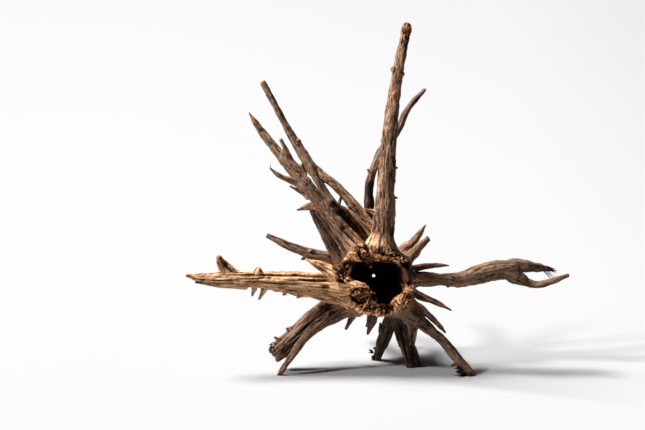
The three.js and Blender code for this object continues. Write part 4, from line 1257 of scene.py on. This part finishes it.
# A rod of wood along a path, with its grain and marks. It flares in a hollow curve where it leaves its
# parent, which is the hub if none is named: there the radius grows as a power of the nearness.
def growRod(path, root, seed, parent):
    wood = rodWood
    cut = woodGrain[root["cut"] or root["slot"]]
    isTucked = parent is None
    middle, width, along = layRings(path)
    tangent, normal, binormal = carryFrames(middle)
    first = ringsFromWall(middle, width) if isTucked else 0
    middle, width, tangent = middle[first:], width[first:], tangent[first:]
    normal, binormal = normal[first:, None], binormal[first:, None]
    columns = int(np.clip(2 * math.pi * width.max() / wood["columnLength"], *wood["columns"]))
    theta = np.linspace(0, 2 * math.pi, columns, endpoint=False)[None, :] + 0 * along[first:, None]
    s, w = along[first:, None] + 0 * theta, width[:, None] + 0 * theta
    share = s / along[-1]

    def ringPoints(radius):
        across = np.cos(theta)[..., None] * normal + np.sin(theta)[..., None] * binormal
        return middle[:, None] + radius[..., None] * across

    def distance(points):
        return hubDistance(points) if isTucked else rodDistance(points, *rodSurfaces[parent])

    plain = ringPoints(w)
    calm = nearFront(plain, distance(plain), wood["calm"], cut["nearMouth"]) if isTucked else 0
    radius, relief, grain = cutGrain(cut, theta, s, w, share, calm, seed)
    bare = ringPoints(radius)
    away = distance(bare)
    flareReach = wood["flareReach"][0] * w + wood["flareReach"][1]
    nearness = np.clip(1 - away / flareReach, 0, 1)
    radius = radius + root["flare"] * wood["flareHeight"] * flareReach * nearness ** wood["flarePower"]
    if not isTucked:
        closing = np.clip(1 - s / w, 0, 1) ** 2
        radius = radius * np.sqrt(1 - wood["spurStart"] * closing)
    fade, leastFade = wood["frontFade"]
    isFront = ease((middle[:, None, 1] - bare[..., 1]) / np.maximum(fade * w, leastFade))
    push, kept, stainAndShade = rootMarks(bare, isFront, root["marks"])
    radius = np.maximum(radius - push, wood["leastRadius"] * w)
    points = ringPoints(roundTip(radius, s, width[-1], root["broken"]))
    relief = relief * kept
    tone = root["tone"] + 0 * s
    if isTucked:
        points, relief, tone, stainAndShade = blendAtMouth(points, away, relief, tone, stainAndShade)
    ends = [(root["rustFrom"], *wood["endRust"]), (root["bleachFrom"], *wood["endBleach"])]
    for axis, (start, strong, over) in enumerate(ends):
        stainAndShade[..., axis] = np.maximum(stainAndShade[..., axis], strong * ease((share - start) / over))
    values = dict(grain=grain, stainAndShade=stainAndShade, relief=relief, tone=tone)
    if root["broken"]:
        points, values = breakEnd(points, values, middle[-1], tangent[-1], root["broken"], seed)
    return closeRod(points, values)


brokenEnd = dict(
    rings=(0.93, 0.8, 0.64, 0.46, 0.28, 0.12),  # their sizes beside the last ring of the rod
    lastRings=(1.0, 0.6, 0.3),  # how much the last rings of the rod are pushed too, from the end back
    edge=2.2, edgeStep=3.4, middle=1.5, middleStep=1.6,
    edgeEven=0.45,  # the noise at which the edge stays where it is
    relief=1.2,  # how much brighter high splinters are than low ones, as painted light and shade
)


# A broken end: rings that shrink to the middle, each point pushed along the root by noise that is
# strongest between the rim and the middle, so that splinters stand up.
def breakEnd(points, values, middle, tangent, broken, seed):
    shrink = np.array(brokenEnd["rings"])[:, None, None]
    rim = points[-1] - middle
    around = rim / np.linalg.norm(rim, axis=1, keepdims=True) * brokenEnd["edgeStep"]
    edge = broken * brokenEnd["edge"] * (softNoise(around, seed + 900) - brokenEnd["edgeEven"])
    edge = edge[None, :, None]
    points = points.copy()
    for back, part in enumerate(brokenEnd["lastRings"]):
        points[-1 - back] += (edge * part * tangent)[0]
    caps = middle + rim * shrink
    height = softNoise(caps / brokenEnd["middleStep"], seed + 901) - 0.5
    caps = caps + tangent * (edge * shrink + broken * brokenEnd["middle"] * height[..., None])
    count = len(shrink)
    grown = {key: np.vstack([value, np.repeat(value[-1:], count, 0)]) for key, value in values.items()}
    grown["relief"][-count:] = np.clip(0.5 + brokenEnd["relief"] * height, 0, 1)
    return np.vstack([points, caps]), grown


hair = dict(
    rings=6, sides=5,
    tipThin=0.8,  # how much of its thickness a hair loses to its tip
    sag=0.5, relief=0.35, grain=3,
    aside=(0.3, 0.2, 0.93),  # a direction that no hair has
)


# Hairs: thin rods that shrink towards their ends and sag by the square of the share along them. Each
# starts beside the brush's place and leans its own way: the shared way plus a random one.
def growHairs(brush, tone, seed):
    number = np.arange(brush["count"])
    cells = np.stack([number, 0 * number, 0 * number], -1)
    random = np.stack([cellRandom(cells, seed + k) for k in range(8)], -1) - 0.5
    way = np.array(brush["way"], float) / np.linalg.norm(brush["way"])
    way = way + random[:, 3:6] * 2 * brush["spread"]
    way /= np.linalg.norm(way, axis=1, keepdims=True)
    start = np.array(brush["at"], float) + random[:, :3] * 2 * brush["wide"]
    share = np.linspace(0, 1, hair["rings"])[None, :, None]
    length = brush["length"] * (1 + random[:, 6])[:, None, None]
    middle = start[:, None] + way[:, None] * share * length
    middle[..., 2] -= (brush.get("sag", hair["sag"]) * random[:, 7:8, None] * share ** 2 * 2)[..., 0]
    across = np.cross(way, hair["aside"])
    across /= np.linalg.norm(across, axis=1, keepdims=True)
    beside = np.cross(way, across)[:, None, None]
    across = across[:, None, None]
    turn = np.linspace(0, 2 * math.pi, hair["sides"], endpoint=False)[None, None, :, None]
    thick = brush["thick"] * (1 - hair["tipThin"] * share)[..., None]
    points = middle[:, :, None] + thick * (np.cos(turn) * across + np.sin(turn) * beside)
    last = (hair["rings"] - 1) * hair["sides"]
    first = (number * hair["rings"] * hair["sides"])[:, None, None]
    quads = (first + gridFaces(hair["rings"], hair["sides"])[None]).reshape(-1, 4)
    fan = range(1, hair["sides"] - 1)
    caps = np.array([[0, k + 1, k] for k in fan] + [[last, last + k, last + k + 1] for k in fan])
    points = points.reshape(-1, 3)
    count = len(points)
    return dict(
        points=points, quads=quads, triangles=(first + caps[None]).reshape(-1, 3),
        grain=points / hair["grain"], stainAndShade=np.zeros((count, 3)),
        relief=np.full(count, hair["relief"]), tone=np.full(count, tone),
    )


# A root with its spurs, which grow from it, and its hairs.
def makeRoot(root, seed):
    spurLook = {**root, "broken": 0, "flare": 1, "rustFrom": never, "bleachFrom": never}
    shapes = [growRod(root["path"], root, seed, root["parent"])]
    for number, spur in enumerate(root["spurs"]):
        shapes.append(growRod(spur, spurLook, seed + 40 * (number + 1), root["node"]))
    for number, brush in enumerate(root["brushes"]):
        shapes.append(growHairs(brush, root["tone"] * brush["tone"], 7000 + 50 * seed + 10 * number))
    shape = joined(shapes)
    if root["onFloor"]:
        shape["points"][:, 2] = np.maximum(shape["points"][:, 2], 0)
    return shape


roots = [{**rootDefaults, **root} for root in roots]
rodSurfaces = {root["node"]: layRings(root["path"])[:2] for root in roots}
for number, root in enumerate(roots):
    makePiece(root["node"] + "_wood", makeRoot(root, number), root["slot"], root["node"])
print("roots made")
